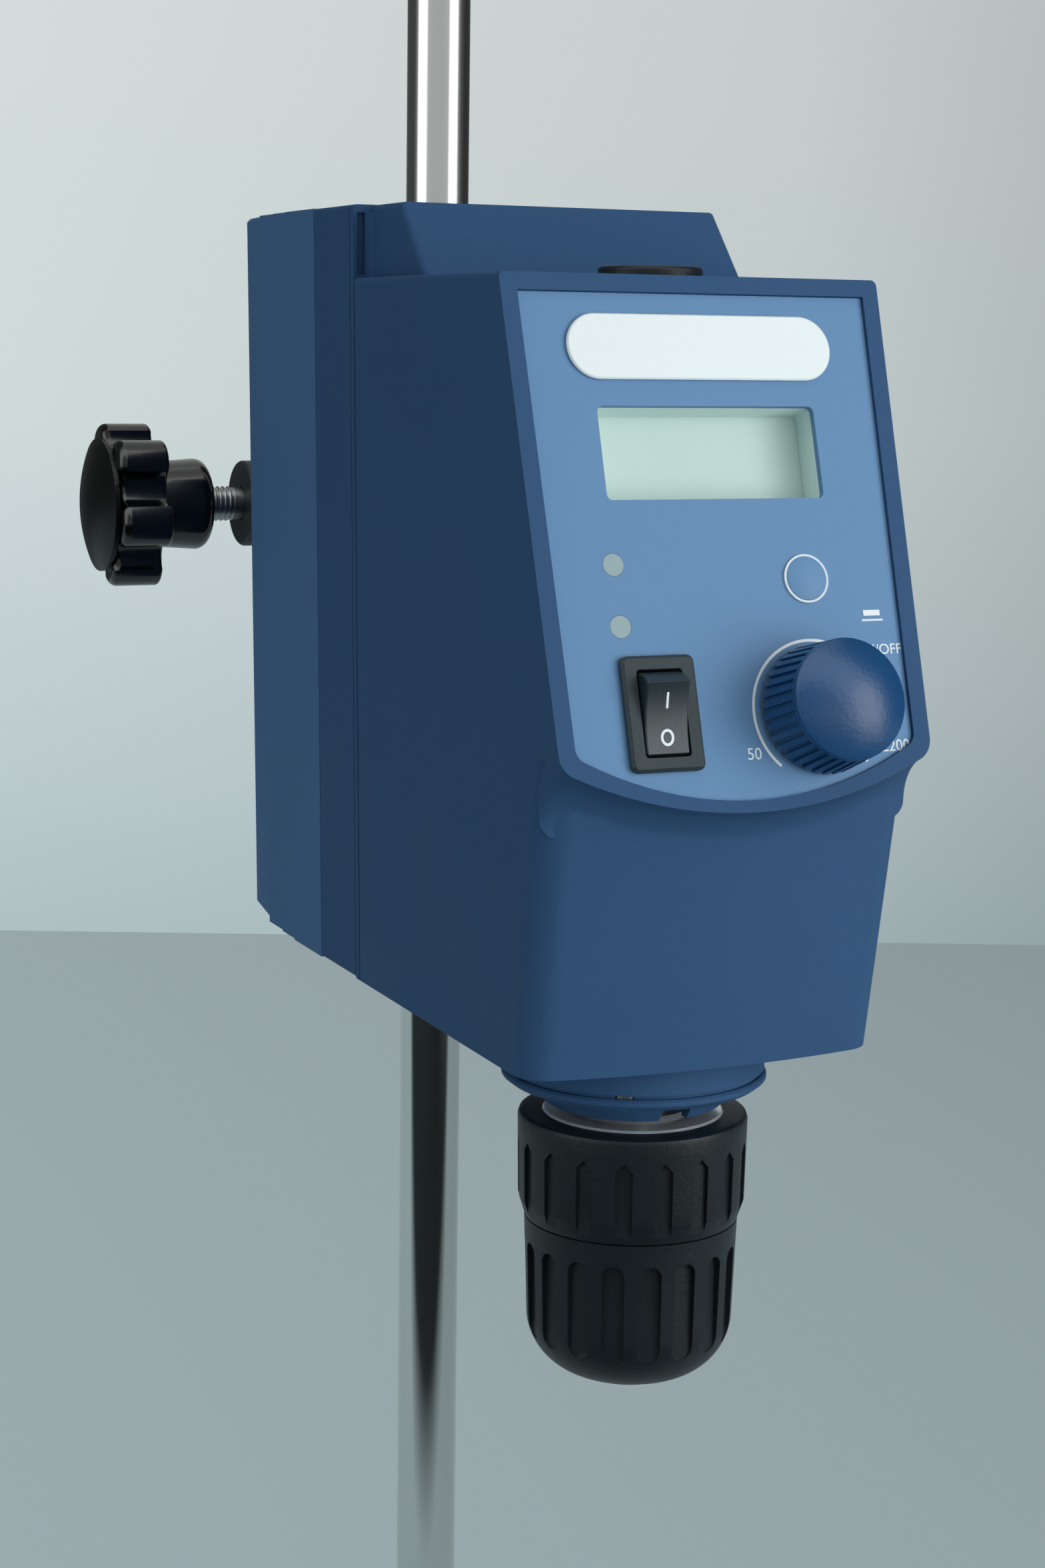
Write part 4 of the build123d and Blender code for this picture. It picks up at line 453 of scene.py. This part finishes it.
WALL_AT = 1.83
ACROSS = tuple(level_right)
AHEAD = tuple(ahead)
wall_middle = eye.dot(level_right)
eye_ahead = eye.dot(ahead)
# the wall glows at painted light: lighter towards the top and darker to the right, as the room's light falls on it; its
# mirrored ramp is painted shade outside a bright middle band, for what glossy pieces mirror
wall_look = backdrop_look("wall_painted_light", [
    ((0, 0, 1), FLOOR_Z, FLOOR_Z + 1.0,
     tones((0.0, (180, 198, 201)), (0.10, (192, 207, 209)), (0.35, (212, 223, 224)), (1.0, (226, 231, 228)))),
    (ACROSS, wall_middle - 0.5, wall_middle + 0.5,
     shades((0.0, 0.98), (0.15, 0.94), (0.68, 0.80), (0.9, 0.63), (1.0, 0.59)))],
    [(ACROSS, wall_middle - 1.2, wall_middle + 1.2,
      shades((0.0, 0.1), (0.32, 0.16), (0.42, 1.0), (0.58, 1.0), (0.68, 0.16), (1.0, 0.1)))])
# the floor glows at painted light too: darker further back and to the right; its mirrored ramp is painted shade near
# the camera, for what glossy pieces mirror
floor_look = backdrop_look("floor_painted_light", [
    ((0, 1, 0), -0.2, 1.3, tones((0.0, (170, 187, 191)), (1.0, (158, 173, 176)))),
    (ACROSS, wall_middle - 0.5, wall_middle + 0.5, shades((0.0, 0.96), (0.15, 0.92), (0.85, 0.72), (1.0, 0.7)))],
    [(AHEAD, eye_ahead + 0.38, eye_ahead + 0.54, shades((0.0, 0.06), (1.0, 1.1)))])
flat("wall", [point(WALL_AT, -4, FLOOR_Z), point(WALL_AT, 4, FLOOR_Z), point(WALL_AT, 4, 4), point(WALL_AT, -4, 4)],
     wall_look)
flat("floor", [point(-3, -4, FLOOR_Z), point(-3, 4, FLOOR_Z), point(WALL_AT, 4, FLOOR_Z), point(WALL_AT, -4, FLOOR_Z)],
     floor_look)

world = bpy.data.worlds.new("world")
bpy.context.scene.world = world
world.use_nodes = True
tree = world.node_tree
sky = tree.nodes["Background"]
look_way = tree.nodes.new("ShaderNodeTexCoord")
facing = tree.nodes.new("ShaderNodeVectorMath")
facing.operation = "DOT_PRODUCT"
facing.inputs[1].default_value = tuple(-ahead)
tree.links.new(look_way.outputs["Generated"], facing.inputs[0])
span = tree.nodes.new("ShaderNodeMapRange")
span.inputs["From Min"].default_value = -1
tree.links.new(facing.outputs["Value"], span.inputs["Value"])


def room_ramp(levels):
    """Brightness of the room by direction, as listed in ROOM_BANDS."""
    ramp = tree.nodes.new("ShaderNodeValToRGB")
    for position, level in levels:
        stop = ramp.color_ramp.elements.new(position)
        stop.color = (level, level * 1.02, level * 1.03, 1)
    ramp.color_ramp.elements.remove(ramp.color_ramp.elements[0])
    ramp.color_ramp.elements.remove(ramp.color_ramp.elements[-1])
    tree.links.new(span.outputs["Result"], ramp.inputs["Fac"])
    return ramp.outputs["Color"]


bands = tree.nodes.new("ShaderNodeMix")
bands.data_type = "RGBA"
tree.links.new(tree.nodes.new("ShaderNodeLightPath").outputs["Is Glossy Ray"], bands.inputs["Factor"])
tree.links.new(room_ramp(ROOM_BANDS), bands.inputs[6])
tree.links.new(room_ramp(GLOSS_BANDS), bands.inputs[7])
height = tree.nodes.new("ShaderNodeSeparateXYZ")
tree.links.new(look_way.outputs["Generated"], height.inputs["Vector"])
below = tree.nodes.new("ShaderNodeMapRange")
below.inputs["From Min"].default_value = -0.35
below.inputs["From Max"].default_value = 0.05
below.inputs["To Min"].default_value = 0.4
tree.links.new(height.outputs["Z"], below.inputs["Value"])
dim = tree.nodes.new("ShaderNodeMix")
dim.data_type = "RGBA"
dim.blend_type = "MULTIPLY"
dim.inputs["Factor"].default_value = 1
tree.links.new(bands.outputs[2], dim.inputs[6])
tree.links.new(below.outputs["Result"], dim.inputs[7])
tree.links.new(dim.outputs[2], sky.inputs["Color"])
sky.inputs["Strength"].default_value = ROOM_LEVEL


def lamp(name, place, target, size, power, rgb=(255, 255, 255), gloss=True):
    data = bpy.data.lights.new(name, "AREA")
    data.shape = "RECTANGLE"
    data.size, data.size_y = size
    data.energy = power
    data.color = linear(*rgb)[:3]
    light = bpy.data.objects.new(name, data)
    bpy.context.scene.collection.objects.link(light)
    place, target = Vector(place), Vector(target)
    light.visible_glossy = gloss
    light.matrix_world = Matrix.Translation(place) @ (place - target).to_track_quat("Z", "Y").to_matrix().to_4x4()
    return light


middle = (0, 0.03, 0.07)
lamp("key", point(-0.25, 0.75, 0.08), middle, (1.4, 1.1), 9.1, (255, 253, 250), gloss=False)
lamp("glint", point(0.1, 1.0, 0.2), middle, (0.65, 0.9), 3.4, (255, 253, 250))
lamp("strip_left", point(0.1, -0.75, 0.2), (0.026, 0.175, 0.15), (0.16, 1.2), 1.6, gloss=False)
lamp("strip_right", point(0.25, 0.9, 0.25), (0.026, 0.175, 0.15), (0.16, 1.2), 1.6, gloss=False)
lamp("top", (0.1, 0.1, 1.3), middle, (1.0, 0.8), 2.0)

bpy.context.scene.view_settings.view_transform = "Standard"
